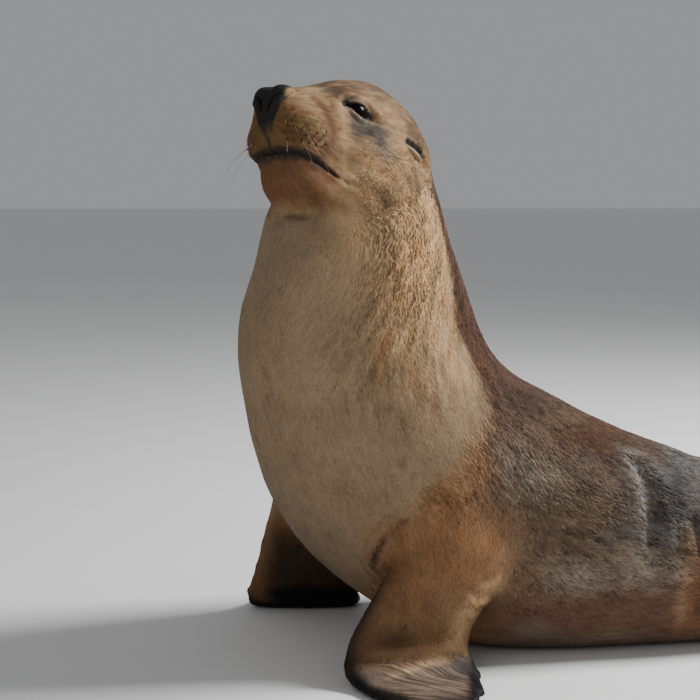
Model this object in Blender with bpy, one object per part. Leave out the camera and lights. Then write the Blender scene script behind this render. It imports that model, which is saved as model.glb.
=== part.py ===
"""Australian sea lion, sitting up on its fore flippers with the chin raised: solids at life size.

The animal is modelled straight and symmetrical, facing -X, with its left side towards -Y and the
floor at Z = 0. Every surface is then posed: the fore body bends to the left, the head turns a little
further, and the rump swings the same way. The posed flesh is made one smooth body and parted with
thin cuts into the pieces that a person would name.
"""

import math

import bmesh
import bpy
import numpy as np
from mathutils import Matrix, Vector

# ---- driving sizes, in metres and degrees ----
BODY_LENGTH = 1.75  # nose to tail along the back; every size below is drawn for this one
HEAD_PIVOT = Vector((-0.1125, 0.0, 0.808))  # between the ears
HEAD_PITCH = math.radians(13)  # chin raised
HEAD_TURN = math.radians(28)  # of the head against the neck
HEAD_ROLL = math.radians(-5.3)
FORE_TURN = math.radians(15.3)  # of the fore body against the trunk
FORE_BEND = (0.15, -0.15)  # where that turn starts and ends along X
RUMP_TURN = math.radians(12)
RUMP_BEND = (0.52, 0.86)
NECK_RING = Vector((-0.110, 0.0, 0.735))  # middle of the cut between head and neck
NECK_RING_NORMAL = Vector((-0.386, 0.0, 0.922)).normalized()
TWIST_LENGTH = 0.28  # of neck that takes up the head's turn
TILT_LENGTH = 0.13  # and its tilt

EYE_RADIUS = 0.0235
GAP = 0.0004  # clear space left by each cut
VOXEL = 0.0042
HEAD_TRIANGLES = 1600
BODY_TRIANGLES = 2900
HEAD_REACH = 0.205  # the head's share is what lies this near its middle

COLOURS = {  # base colour and roughness of each finish
    "fawn_coat": ((0.42, 0.29, 0.18), 0.75),
    "brown_coat": ((0.22, 0.14, 0.09), 0.75),
    "cream_coat": ((0.52, 0.42, 0.29), 0.75),
    "dark_skin": ((0.035, 0.028, 0.025), 0.5),
    "eye": ((0.012, 0.009, 0.008), 0.08),
    "claw": ((0.06, 0.045, 0.035), 0.4),
}


# ---- small helpers ----
def smoothstep(low, high, value):
    t = min(1.0, max(0.0, (value - low) / (high - low)))
    return t * t * (3 - 2 * t)


def catmull_rom(rows, steps):
    """Rows of numbers made finer: a smooth curve through them, with this many steps between two."""
    points = np.array(rows, float)
    ends = np.vstack([2 * points[0] - points[1], points, 2 * points[-1] - points[-2]])
    fine = []
    for i in range(1, len(points)):
        a, b, c, d = ends[i - 1 : i + 3]
        for t in np.arange(steps) / steps:
            fine.append(
                0.5
                * (2 * b + (c - a) * t + (2 * a - 5 * b + 4 * c - d) * t**2 + (3 * b - a - 3 * c + d) * t**3)
            )
    fine.append(points[-1])
    return np.array(fine)


def rounded(angle, power):
    """A point of a superellipse of radius 1: power 2 is a circle, and more is squarer."""
    c, s = math.cos(angle), math.sin(angle)
    return (
        math.copysign(abs(c) ** (2 / power), c),
        math.copysign(abs(s) ** (2 / power), s),
    )


def bent(x, y, turn, start, end):
    """The point (x, y) after the part of the body past start is swung through an arc that ends at end."""
    way = math.copysign(1.0, end - start)
    length = abs(end - start)
    along = (x - start) * way
    if along <= 0:
        return x, y
    share = min(along / length, 1.0)
    angle, radius = turn * share, length / turn
    beyond = max(along - length, 0.0)
    far = radius * math.sin(angle) + beyond * math.cos(turn)
    side = radius * (1 - math.cos(angle)) + beyond * math.sin(turn)
    return start + way * (far - y * way * -math.sin(angle) * way), -side + y * math.cos(angle)


def pose(point):
    """Takes a point of the straight animal to its place on the posed one."""
    p = Vector(point)
    above = (p - NECK_RING).dot(NECK_RING_NORMAL)
    forward = Vector((-math.cos(HEAD_PITCH), 0, math.sin(HEAD_PITCH)))
    turn = Matrix.Rotation(HEAD_TURN * smoothstep(-TWIST_LENGTH, 0.0, above), 3, "Z")
    tilt = Matrix.Rotation(-HEAD_ROLL * smoothstep(-TILT_LENGTH, 0.0, above), 3, forward)
    p = HEAD_PIVOT + turn @ tilt @ (p - HEAD_PIVOT)
    x, y = bent(p.x, p.y, FORE_TURN, *FORE_BEND)
    x, y = bent(x, y, RUMP_TURN, *RUMP_BEND)
    return Vector((x, y, p.z))


def posed_frame(point):
    """The rigid motion that pose() makes near this point, as a matrix."""
    step, centre = 1e-4, pose(point)
    axes = [(pose(Vector(point) + step * Vector(a)) - centre).normalized() for a in np.eye(3)]
    turn = Matrix(axes).transposed().to_quaternion().to_matrix()
    return Matrix.Translation(centre) @ turn.to_4x4() @ Matrix.Translation(-Vector(point))


def head_point(forward, up, y=0.0):
    """A point given from between the ears, along the raised head."""
    c, s = math.cos(HEAD_PITCH), math.sin(HEAD_PITCH)
    return HEAD_PIVOT + Vector((-(forward * c - up * s), y, forward * s + up * c))


# ---- closed shapes ----
def add_tube(bm, rings):
    """Closes a row of rings, each a list of points, into one tube with a fan at each end."""
    loops = [[bm.verts.new(p) for p in ring] for ring in rings]
    count = len(loops[0])
    for one, two in zip(loops, loops[1:]):
        for i in range(count):
            j = (i + 1) % count
            bm.faces.new((one[i], one[j], two[j], two[i]))
    for loop, flip in ((loops[0], True), (loops[-1], False)):
        middle = bm.verts.new(sum((v.co for v in loop), Vector()) / count)
        for i in range(count):
            j = (i + 1) % count
            corners = (loop[j], loop[i], middle) if flip else (loop[i], loop[j], middle)
            bm.faces.new(corners)


def body_rings(stations, around=40, steps=5):
    """Rings through stations (back x, z, belly x, z, half width, squareness), symmetrical in Y."""
    for back_x, back_z, belly_x, belly_z, half, power in catmull_rom(stations, steps):
        back, belly = Vector((back_x, 0, back_z)), Vector((belly_x, 0, belly_z))
        middle, up = (back + belly) / 2, (back - belly) / 2
        ring = []
        for k in range(around):
            turn = 2 * math.pi * k / around
            side, height = rounded(turn, power if math.sin(turn) < 0 else 2 + (power - 2) / 4)
            ring.append(middle + up * height + Vector((0, half * side, 0)))
        yield ring


def head_rings(stations, around=36, steps=4):
    """Rings along the head from stations (forward, top, bottom, half width, squareness)."""
    for forward, top, bottom, half, power in catmull_rom(stations, steps):
        ring = []
        for k in range(around):
            side, height = rounded(2 * math.pi * k / around, power)
            ring.append(head_point(forward, (top + bottom) / 2 + height * (top - bottom) / 2, half * side))
        yield ring


def limb_rings(stations, side, around=24, steps=5):
    """Rings of a flattened limb. A station holds the middle (x, y, z), the half chord, the half
    thickness, and which way the thickness points, as an angle from sideways (0) to up (90)."""
    for x, y, z, chord, thick, tilt in catmull_rom(stations, steps):
        angle = math.radians(tilt)
        through = Vector((0, side * math.cos(angle), math.sin(angle)))
        ring = []
        for k in range(around):
            a, b = rounded(2 * math.pi * k / around, 2.2)
            ring.append(Vector((x, side * y, z)) + Vector((chord * a, 0, 0)) + through * (thick * b))
        yield ring


def add_ball(bm, centre, radii, turn=None, around=28):
    """An ellipsoid, for a muscle or a pad."""
    place = Matrix.Translation(centre) @ (turn or Matrix()) @ Matrix.Diagonal((*radii, 1))
    bmesh.ops.create_uvsphere(bm, u_segments=around, v_segments=around * 9 // 14, radius=1, matrix=place)


def add_plate(bm, outline, thickness, across=30, along=26):
    """A flat closed blade. outline(c, l) gives the middle of the blade at c across and l along, and
    thickness(c, l) the half thickness there. Both faces share the rim."""
    grids = []
    for way in (1, -1):
        grid = []
        for i in range(across + 1):
            row = []
            for j in range(along + 1):
                c, l = i / across, j / along
                rim = i in (0, across) or j in (0, along)
                if rim and way < 0:
                    row.append(grids[0][i][j])
                    continue
                lift = 0.0 if rim else way * thickness(c, l)
                row.append(bm.verts.new(outline(c, l) + Vector((0, 0, lift))))
            grid.append(row)
        grids.append(grid)
    for grid, way in zip(grids, (1, -1)):
        for i in range(across):
            for j in range(along):
                face = [grid[i][j], grid[i + 1][j], grid[i + 1][j + 1], grid[i][j + 1]]
                bm.faces.new(face if way > 0 else face[::-1])


HEAD_MIDDLE = head_point(0.070, -0.030)


# ---- the flesh, straight ----
TRUNK = (  # back x, z, belly x, z, half width, squareness below
    (-0.036, 0.850, -0.185, 0.785, 0.068, 2.0),  # inside the head
    (-0.015, 0.795, -0.290, 0.730, 0.100, 2.0),
    (0.006, 0.722, -0.324, 0.676, 0.128, 2.0),
    (0.034, 0.640, -0.335, 0.590, 0.152, 2.0),
    (0.061, 0.560, -0.332, 0.500, 0.171, 2.0),
    (0.088, 0.490, -0.314, 0.410, 0.187, 2.1),
    (0.132, 0.440, -0.294, 0.318, 0.198, 2.15),  # withers
    (0.200, 0.401, -0.262, 0.232, 0.205, 2.2),
    (0.270, 0.364, -0.202, 0.145, 0.208, 2.3),
    (0.340, 0.332, -0.110, 0.066, 0.208, 2.4),
    (0.410, 0.306, 0.005, 0.004, 0.205, 2.6),
    (0.480, 0.280, 0.140, -0.020, 0.199, 2.7),
    (0.580, 0.262, 0.340, -0.022, 0.192, 2.7),
    (0.680, 0.252, 0.520, -0.022, 0.182, 2.6),
    (0.780, 0.236, 0.680, -0.018, 0.163, 2.5),
    (0.870, 0.210, 0.810, -0.008, 0.135, 2.3),
    (0.945, 0.170, 0.905, 0.020, 0.098, 2.1),
    (1.000, 0.125, 0.975, 0.055, 0.050, 2.0),
    (1.055, 0.094, 1.045, 0.062, 0.024, 2.0),
    (1.085, 0.082, 1.082, 0.068, 0.010, 2.0),  # tip of the tail
)

CRANIUM = (  # forward, top, bottom, half width, squareness
    (-0.108, -0.012, -0.070, 0.040, 2.0),
    (-0.088, 0.032, -0.100, 0.072, 2.0),
    (-0.050, 0.067, -0.128, 0.087, 2.1),
    (-0.010, 0.084, -0.138, 0.090, 2.2),
    (0.030, 0.090, -0.138, 0.088, 2.3),
    (0.062, 0.087, -0.132, 0.081, 2.3),
    (0.095, 0.077, -0.121, 0.070, 2.3),
    (0.125, 0.064, -0.106, 0.062, 2.3),
    (0.155, 0.050, -0.096, 0.058, 2.2),
    (0.185, 0.039, -0.090, 0.055, 2.1),
    (0.212, 0.030, -0.077, 0.048, 2.1),
    (0.233, 0.018, -0.060, 0.037, 2.0),
    (0.244, 0.000, -0.036, 0.020, 2.0),
)

JAW = (  # forward, top, bottom, half width, squareness
    (0.000, -0.060, -0.160, 0.080, 2.2),
    (0.060, -0.060, -0.164, 0.074, 2.2),
    (0.110, -0.060, -0.160, 0.064, 2.2),
    (0.150, -0.060, -0.154, 0.057, 2.2),
    (0.184, -0.062, -0.143, 0.050, 2.2),
    (0.214, -0.070, -0.117, 0.033, 2.0),
)

ARM = (  # x, y, z, half chord, half thickness, tilt of the thickness
    (-0.010, 0.095, 0.370, 0.100, 0.050, 10),
    (-0.015, 0.140, 0.280, 0.112, 0.056, 5),
    (-0.022, 0.176, 0.195, 0.103, 0.049, -8),
    (-0.073, 0.195, 0.120, 0.103, 0.037, -5),
    (-0.112, 0.204, 0.064, 0.104, 0.030, 12),
    (-0.120, 0.216, 0.028, 0.105, 0.023, 50),
    (-0.116, 0.246, 0.014, 0.100, 0.015, 82),
)
ARM_ANCHOR = Vector((-0.060, 0.120, 0.300))  # the arms keep their shape and swing about here
FAR_STEP = (0.038, 0.055)  # how far ahead the right hand stands, and how much more its elbow
FAR_TURN = math.radians(18)  # the right hand is turned this much towards the front
FAR_TUCK = 0.020  # and stands this much nearer the chest
WRIST = Vector((-0.120, 0.213, 0.022))

SHANK = (  # the hind limb from the knee back to the heel, as ARM
    (0.640, 0.100, 0.130, 0.090, 0.080, 20),
    (0.735, 0.112, 0.102, 0.092, 0.074, 25),
    (0.820, 0.118, 0.074, 0.080, 0.062, 35),
    (0.875, 0.126, 0.046, 0.058, 0.042, 55),
    (0.893, 0.140, 0.028, 0.046, 0.028, 80),
)

PALM = {  # the hand of the fore flipper, flat on the floor: x, y of its corners
    "front": (-0.225, 0.210),
    "rear": (-0.014, 0.203),
    "first_tip": (-0.143, 0.446),
    "last_tip": (-0.030, 0.330),
    "bow": 0.016,
    "digits": 5,
    "notch": 0.012,
    "thick": (0.0145, 0.0055),  # half thickness at the wrist and at the tips
}

SOLE = {  # the hind flipper, turned forward under the body
    "heel": (0.905, 0.150),
    "way": math.radians(142),  # from straight back, so forwards and out
    "length": 0.270,
    "heel_half": 0.042,
    "toe_half": 0.088,
    "digits": 5,
    "notch": 0.050,
    "thick": (0.018, 0.0050),
}


def palm_surface(side):
    """The hand: from the wrist line out and back to a slanting row of digit tips."""
    front, rear = Vector(PALM["front"]), Vector(PALM["rear"])
    first, last = Vector(PALM["first_tip"]), Vector(PALM["last_tip"])
    ahead = (front - rear).normalized()

    def outline(c, l):
        tips = first.lerp(last, c)
        near = front.lerp(rear, c)
        reach = 1 - PALM["notch"] / 0.2 * (1 - math.cos(2 * math.pi * c * PALM["digits"])) / 2
        reach *= 1 + 0.06 * math.sin(math.pi * c)
        spread = near.lerp(tips, l * reach)
        spread += ahead * PALM["bow"] * math.sin(math.pi * l) * (1 - 1.7 * c)
        near_thick, far_thick = PALM["thick"]
        rise = (far_thick + (near_thick - far_thick) * (1 - l)) * 0.7 - 0.0005
        return Vector((spread.x, side * spread.y, rise))

    def thickness(c, l):
        near_thick, far_thick = PALM["thick"]
        edge = math.sqrt(max(0.0, 1 - (2 * c - 1) ** 4)) * (1 - max(0.0, (l - 0.9) / 0.1) ** 2 * 0.5)
        ridge = 0.82 + 0.18 * math.cos(2 * math.pi * (c * PALM["digits"] - 0.5)) * smoothstep(0.25, 0.7, l)
        return (far_thick + (near_thick - far_thick) * (1 - l)) * edge * ridge

    return outline, thickness


def toe_reach(c):
    """How far the hind flipper's edge reaches at c across: long outer toes, deep notches between."""
    digit = math.cos(2 * math.pi * c * SOLE["digits"])
    return 0.88 + 0.12 * abs(2 * c - 1) ** 1.5 - SOLE["notch"] / SOLE["length"] * (1 - digit) / 2 * 0.55


def sole_surface(side):
    heel = Vector(SOLE["heel"])
    way = Vector((math.cos(SOLE["way"]), math.sin(SOLE["way"])))
    across = Vector((-way.y, way.x))

    def outline(c, l):
        half = SOLE["heel_half"] + (SOLE["toe_half"] - SOLE["heel_half"]) * smoothstep(0.0, 1.0, l) ** 0.8
        far = SOLE["length"] * toe_reach(c) * l
        spread = heel + way * far + across * half * (2 * c - 1)
        near_thick, far_thick = SOLE["thick"]
        rise = (far_thick + (near_thick - far_thick) * (1 - l)) * 0.7 - 0.0005
        return Vector((spread.x, side * spread.y, rise))

    def thickness(c, l):
        near_thick, far_thick = SOLE["thick"]
        edge = math.sqrt(max(0.0, 1 - (2 * c - 1) ** 4))
        ridge = 0.78 + 0.22 * math.cos(2 * math.pi * (c * SOLE["digits"] - 0.5)) * smoothstep(0.2, 0.6, l)
        return (far_thick + (near_thick - far_thick) * (1 - l)) * edge * ridge

    return outline, thickness


def arm_frame(side):
    """Where an arm's stiff piece goes: it swings with the shoulder, and the right one turns forward."""
    frame = posed_frame((ARM_ANCHOR.x, side * ARM_ANCHOR.y, ARM_ANCHOR.z))
    if side < 0:
        return frame
    step = Matrix.Translation((-FAR_STEP[0], -FAR_TUCK, 0))
    about = Matrix.Translation(WRIST)
    return frame @ step @ about @ Matrix.Rotation(-FAR_TURN, 4, "Z") @ about.inverted()


def place_arm(verts, side):
    frame = arm_frame(side)
    for v in verts:
        ahead = FAR_STEP[1] * smoothstep(0.05, 0.20, v.co.z) if side > 0 else 0.0
        v.co = frame @ (v.co - Vector((ahead, 0, 0)))


def foot_frame(side):
    """Where a hind foot's stiff piece goes: it swings with the heel."""
    return posed_frame((SOLE["heel"][0], side * SOLE["heel"][1], 0))


def add_flesh(bm):
    """Every soft form of the body, overlapping and in its place."""
    add_tube(bm, list(body_rings(TRUNK)))
    add_tube(bm, list(head_rings(CRANIUM)))
    add_tube(bm, list(head_rings(JAW)))
    pitch = Matrix.Rotation(HEAD_PITCH, 4, "Y")
    for side in (-1, 1):
        add_ball(bm, head_point(0.181, -0.046, side * 0.034), (0.050, 0.037, 0.040), pitch)  # whisker pad
        add_ball(bm, head_point(0.228, 0.012, side * 0.019), (0.018, 0.015, 0.015), pitch)  # nostril
        add_ball(bm, head_point(0.138, -0.054, side * 0.037), (0.070, 0.026, 0.038), pitch)  # upper lip
        add_ball(bm, head_point(0.050, -0.052, side * 0.044), (0.090, 0.040, 0.064), pitch)  # cheek
        add_ball(bm, head_point(0.098, 0.036, side * 0.038), (0.050, 0.022, 0.022), pitch)  # brow
        forward, up, out = EYE
        add_ball(bm, head_point(forward, up, side * out), (EYE_RADIUS + LIDS[0],) * 3)  # lids
        add_ball(bm, Vector((0.000, side * 0.116, 0.310)), (0.150, 0.084, 0.130))  # shoulder
        add_ball(bm, Vector((0.700, side * 0.098, 0.115)), (0.160, 0.084, 0.108))  # thigh
        add_tube(bm, list(limb_rings(SHANK, side)))
    for v in bm.verts:
        v.co = pose(v.co)
    for side in (-1, 1):
        before = set(bm.verts)
        add_tube(bm, list(limb_rings(ARM, side)))
        add_plate(bm, *palm_surface(side))
        place_arm([v for v in bm.verts if v not in before], side)
        before = set(bm.verts)
        add_plate(bm, *sole_surface(side))
        bmesh.ops.transform(bm, verts=[v for v in bm.verts if v not in before], matrix=foot_frame(side))


# ---- from surfaces to one smooth body ----
def new_object(name, mesh):
    thing = bpy.data.objects.new(name, mesh)
    bpy.context.scene.collection.objects.link(thing)
    return thing


def made_mesh(name, fill):
    """A mesh that fill(bm) has drawn, with its faces turned outwards."""
    bm = bmesh.new()
    fill(bm)
    bmesh.ops.recalc_face_normals(bm, faces=bm.faces)
    mesh = bpy.data.meshes.new(name)
    bm.to_mesh(mesh)
    bm.free()
    return mesh


def evaluated(thing, name):
    """The thing as its modifiers leave it, as a new plain mesh. The thing is removed."""
    bpy.context.view_layer.update()
    mesh = bpy.data.meshes.new_from_object(thing.evaluated_get(bpy.context.evaluated_depsgraph_get()))
    mesh.name = name
    mesh.transform(thing.matrix_world)
    bpy.data.objects.remove(thing)
    return mesh


def weigh(thing, name, weight):
    """A vertex group whose weights come from weight(point)."""
    group = thing.vertex_groups.new(name=name)
    for v in thing.data.vertices:
        group.add([v.index], weight(v.co), "REPLACE")


def thickness_of_body(point):
    """1 on the thick forms and less on the thin ones, which smoothing would wear away."""
    hand = smoothstep(0.045, 0.085, point.z)
    head = 1 - 0.6 * smoothstep(0.03, -0.03, (point - pose(HEAD_MIDDLE)).length - HEAD_REACH)
    return max(0.08, hand) if abs(point.y) > 0.16 or point.x > 0.75 else head


def make_flesh():
    """All the flesh as one smooth closed body."""
    mesh = made_mesh("flesh", add_flesh)
    thing = new_object("flesh", mesh)
    remesh = thing.modifiers.new("one_body", "REMESH")
    remesh.mode, remesh.voxel_size = "VOXEL", VOXEL
    thing = new_object("flesh", evaluated(thing, "flesh"))
    weigh(thing, "soft", thickness_of_body)
    smooth = thing.modifiers.new("soft", "SMOOTH")
    smooth.factor, smooth.iterations, smooth.vertex_group = 0.5, 40, "soft"
    thing.modifiers.new("triangles", "TRIANGULATE")
    thing = new_object("flesh", evaluated(thing, "flesh"))
    middle = pose(HEAD_MIDDLE)
    weigh(thing, "head", lambda p: 1.0 if (p - middle).length < HEAD_REACH else 0.0)
    near = [(v.co - middle).length < HEAD_REACH for v in thing.data.vertices]
    on_head = sum(all(near[i] for i in face.vertices) for face in thing.data.polygons)
    counts = (len(thing.data.polygons), on_head + BODY_TRIANGLES, HEAD_TRIANGLES + BODY_TRIANGLES)
    for stage in (0, 1):
        thin = thing.modifiers.new("thin", "DECIMATE")
        thin.vertex_group, thin.vertex_group_factor = "head", 1.0
        thin.invert_vertex_group = stage == 0
        thin.ratio = counts[stage + 1] / counts[stage]
    return evaluated(thing, "flesh")


# ---- cutting it into named pieces ----
def prism(name, corners, low, high, place):
    """A cutter: corners (u, v) in the first two axes, from low to high along the third, then placed."""
    def fill(bm):
        rings = [[bm.verts.new(place @ Vector((u, v, w))) for u, v in corners] for w in (low, high)]
        bm.faces.new(rings[0])
        bm.faces.new(rings[1])
        for i in range(len(corners)):
            j = (i + 1) % len(corners)
            bm.faces.new((rings[0][i], rings[0][j], rings[1][j], rings[1][i]))

    thing = new_object(name, made_mesh(name, fill))
    thing.hide_render, thing.display_type = True, "WIRE"
    return thing


def half_space(name, point, normal, shift):
    """A big block on the side of the plane that the normal points to, shift away from the plane."""
    n = Vector(normal).normalized()
    turn = n.to_track_quat("Z", "Y").to_matrix().to_4x4()
    place = posed_frame(point) @ Matrix.Translation(point) @ turn
    square = ((-1.1, -1.1), (1.1, -1.1), (1.1, 1.1), (-1.1, 1.1))
    return prism(name, square, shift, 2.2, place)


def ball_cutter(name, centre, radii, turn=None, around=14):
    """An ellipsoid cutter, drawn in the straight animal and moved stiffly with what is near it."""
    mesh = made_mesh(name, lambda bm: add_ball(bm, centre, radii, turn, around))
    mesh.transform(posed_frame(tuple(centre)))
    thing = new_object(name, mesh)
    thing.hide_render, thing.display_type = True, "WIRE"
    return thing


def keep_largest(mesh):
    """Drops the crumbs that a cut can leave beside the piece."""
    bm = bmesh.new()
    bm.from_mesh(mesh)
    left, islands = set(bm.verts), []
    while left:
        seen, edge = set(), [next(v for v in bm.verts if v in left)]
        while edge:
            v = edge.pop()
            if v not in seen:
                seen.add(v)
                edge.extend(e.other_vert(v) for e in v.link_edges)
        islands.append(seen)
        left -= seen
    islands.sort(key=len)
    crumbs = [v for island in islands[:-1] for v in island]
    bmesh.ops.delete(bm, geom=crumbs, context="VERTS")
    bm.to_mesh(mesh)
    bm.free()
    return mesh


def settled(mesh):
    """The same mesh, with its corners and faces in an order that depends on their places alone."""
    keys = [tuple(round(c, 7) for c in v.co) for v in mesh.vertices]
    order = sorted(range(len(keys)), key=keys.__getitem__)
    rank = {old: new for new, old in enumerate(order)}
    faces = []
    for face in mesh.polygons:
        loop = [rank[i] for i in face.vertices]
        first = loop.index(min(loop))
        faces.append(loop[first:] + loop[:first])
    ordered = bpy.data.meshes.new(mesh.name)
    ordered.from_pydata([mesh.vertices[i].co for i in order], [], sorted(faces))
    return ordered


def piece(name, mesh, *cuts):
    """A node: the mesh kept inside the cutters marked + and outside those marked -."""
    thing = new_object(name, mesh.copy())
    for sign, cutter in cuts:
        cut = thing.modifiers.new(cutter.name, "BOOLEAN")
        cut.operation = "INTERSECT" if sign == "+" else "DIFFERENCE"
        cut.object, cut.solver = cutter, "EXACT"
    return thing


SLICES = {  # each cut across the body: a point on it and the way to the tail's side of it
    "nape": (tuple(NECK_RING), tuple(-NECK_RING_NORMAL)),
    "withers": ((-0.110, 0, 0.480), (0.2, 0, -0.98)),
    "waist": ((0.225, 0, 0.170), (0.786, 0, -0.619)),
    "hips": ((0.640, 0, 0.130), (1, 0, -0.10)),
    "dock": ((0.985, 0, 0.100), (1, 0, -0.15)),
}


def sliced(name, mesh, *more):
    """The part of the body between two of the cuts, in the order of SLICES."""
    rows = list(SLICES.items())
    names = ["head", "neck", "chest", "loin", "pelvis", "tail"]
    at = names.index(name)
    cuts = list(more)
    if at > 0:
        key, (point, normal) = rows[at - 1]
        cuts.insert(0, ("+", half_space(f"{name}_behind_{key}", point, normal, GAP / 2)))
    if at < len(rows):
        key, (point, normal) = rows[at]
        back = tuple(-Vector(normal))
        cuts.insert(0, ("+", half_space(f"{name}_ahead_of_{key}", point, back, GAP / 2)))
    return piece(name, mesh, *cuts)


def arm_block(name, side, grow):
    """Takes in the arm and hand beside the chest."""
    lean = Matrix.Rotation(side * math.radians(6), 4, "X")
    anchor = Vector((0, side * 0.152, 0.12))
    place = arm_frame(side) @ Matrix.Translation(anchor) @ lean
    step = FAR_STEP[1] if side > 0 else 0.0
    out = side * 0.5
    front = -0.30 - step - grow
    corners = [(front, -side * grow), (0.042 + grow, -side * grow), (0.042 + grow, out), (front, out)]
    return prism(name, corners, -0.2, 0.115 + grow, place)


def hand_block(name, side, grow):
    """Takes in the hand, beyond a slanting plane through the wrist."""
    place, wrist = arm_frame(side), Vector((WRIST.x, side * WRIST.y, WRIST.z))
    turn = Vector((0, side, -1)).to_track_quat("Z", "X").to_matrix().to_4x4()
    square = ((-0.4, -0.4), (0.4, -0.4), (0.4, 0.4), (-0.4, 0.4))
    return prism(name, square, -grow, 0.5, place @ Matrix.Translation(wrist) @ turn)


def foot_block(name, side, grow):
    """Takes in the hind foot beyond the ankle, without touching the rump beside it."""
    heel, way = SOLE["heel"], SOLE["way"]
    centre = Vector((heel[0], side * heel[1], 0))
    along = Matrix.Rotation(side * way, 4, "Z")
    corners = ((0.036 - grow, -0.050), (0.36, -0.118), (0.36, 0.118), (0.036 - grow, 0.050))
    return prism(name, corners, -0.1, 0.040 + grow, foot_frame(side) @ Matrix.Translation(centre) @ along)


def jaw_block(name, grow):
    """Takes in the lower jaw: below the line of the mouth and ahead of its corner."""
    c, s = math.cos(HEAD_PITCH), math.sin(HEAD_PITCH)
    along = Matrix(((-c, 0, s, 0), (0, -1, 0, 0), (s, 0, c, 0), (0, 0, 0, 1)))  # forward, left, up
    place = posed_frame(tuple(head_point(0.2, -0.08))) @ Matrix.Translation(HEAD_PIVOT) @ along
    flat = Matrix(((1, 0, 0, 0), (0, 0, 1, 0), (0, 1, 0, 0), (0, 0, 0, 1)))
    g = grow
    corners = ((0.128 - g, -0.094 + g), (0.170, -0.084 + g), (0.214, -0.074 + g), (0.30, -0.072 + g))
    corners += ((0.30, -0.160 - g), (0.128 - g, -0.157 - g))
    return prism(name, corners, -0.15, 0.15, place @ flat)


def nose_block(name, grow):
    """Takes in the bare nose: a wedge, wide above and narrow towards the lip."""
    c, s = math.cos(HEAD_PITCH), math.sin(HEAD_PITCH)
    along = Matrix(((-c, 0, s, 0), (0, -1, 0, 0), (s, 0, c, 0), (0, 0, 0, 1)))
    stand = Matrix(((0, 0, 1, 0), (1, 0, 0, 0), (0, 1, 0, 0), (0, 0, 0, 1)))  # across, up, forward
    place = posed_frame(tuple(head_point(0.2, -0.02))) @ Matrix.Translation(HEAD_PIVOT) @ along @ stand
    g = grow
    corners = ((-0.031 - g, 0.06), (-0.031 - g, 0.008), (-0.022 - g, -0.008))
    corners += ((-0.012 - g, -0.032), (-0.005 - g, -0.052 - g))
    corners += tuple((-u, v) for u, v in reversed(corners))
    return prism(name, corners, 0.212 - g, 0.30, place)


EYE = (0.095, 0.013, 0.0440)  # forward, up and out from between the ears
LIDS = (0.0060, 0.0235, 0.0090)  # thickness of the lids, and half the length and height of their slit
LID_SLOPE = math.radians(12)  # the outer corner is lower
NOSTRIL = (0.247, 0.000, 0.014)
EAR = {"base": (-0.001, -0.002, 0.083), "tip": (-0.028, -0.024, 0.099), "radius": 0.0085}
CLAWS = {"digits": (1, 2, 3), "at": 0.62, "length": 0.024, "radius": 0.0045}


def add_ear(bm, side):
    """A small rolled ear, pointing back and down."""
    base = head_point(*EAR["base"][:2], side * EAR["base"][2])
    tip = head_point(*EAR["tip"][:2], side * EAR["tip"][2])
    axis = tip - base
    place = Matrix.Translation(base) @ axis.to_track_quat("Z", "X").to_matrix().to_4x4()
    rings = []
    for along, wide in ((-0.35, 0.75), (0.0, 1.0), (0.3, 1.05), (0.65, 0.8), (0.95, 0.3)):
        ring = []
        for k in range(8):
            a = 2 * math.pi * k / 8
            u, v = EAR["radius"] * wide * math.cos(a), EAR["radius"] * wide * 0.6 * math.sin(a)
            ring.append(pose(place @ Vector((u, v, axis.length * along))))
        rings.append(ring)
    add_tube(bm, rings)


def add_claw(bm, side, digit):
    """A blunt nail lying on the top of a hind toe."""
    outline, thickness = sole_surface(side)
    c, l = (digit + 0.5) / SOLE["digits"], CLAWS["at"]
    root, tip = outline(c, l), outline(c, l + CLAWS["length"] / (SOLE["length"] * toe_reach(c)))
    root.z += thickness(c, l) - 0.001
    tip.z += thickness(c, l) + 0.001
    axis = tip - root
    place = foot_frame(side) @ Matrix.Translation(root)
    place @= axis.to_track_quat("Z", "X").to_matrix().to_4x4()
    rings = []
    for along, wide in ((0.0, 0.6), (0.3, 1.0), (0.8, 0.7), (1.0, 0.25)):
        ring = []
        for k in range(6):
            a = 2 * math.pi * k / 6
            r = CLAWS["radius"] * wide
            ring.append(place @ Vector((r * math.cos(a), r * math.sin(a), axis.length * along)))
        rings.append(ring)
    add_tube(bm, rings)


def swollen(mesh, grow):
    """The flesh made this much fatter, for carving what lies on it."""
    thing = new_object("swollen_flesh", mesh.copy())
    fat = thing.modifiers.new("fat", "DISPLACE")
    fat.strength, fat.mid_level = grow, 0.0
    thing.hide_render, thing.display_type = True, "WIRE"
    return thing


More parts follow.
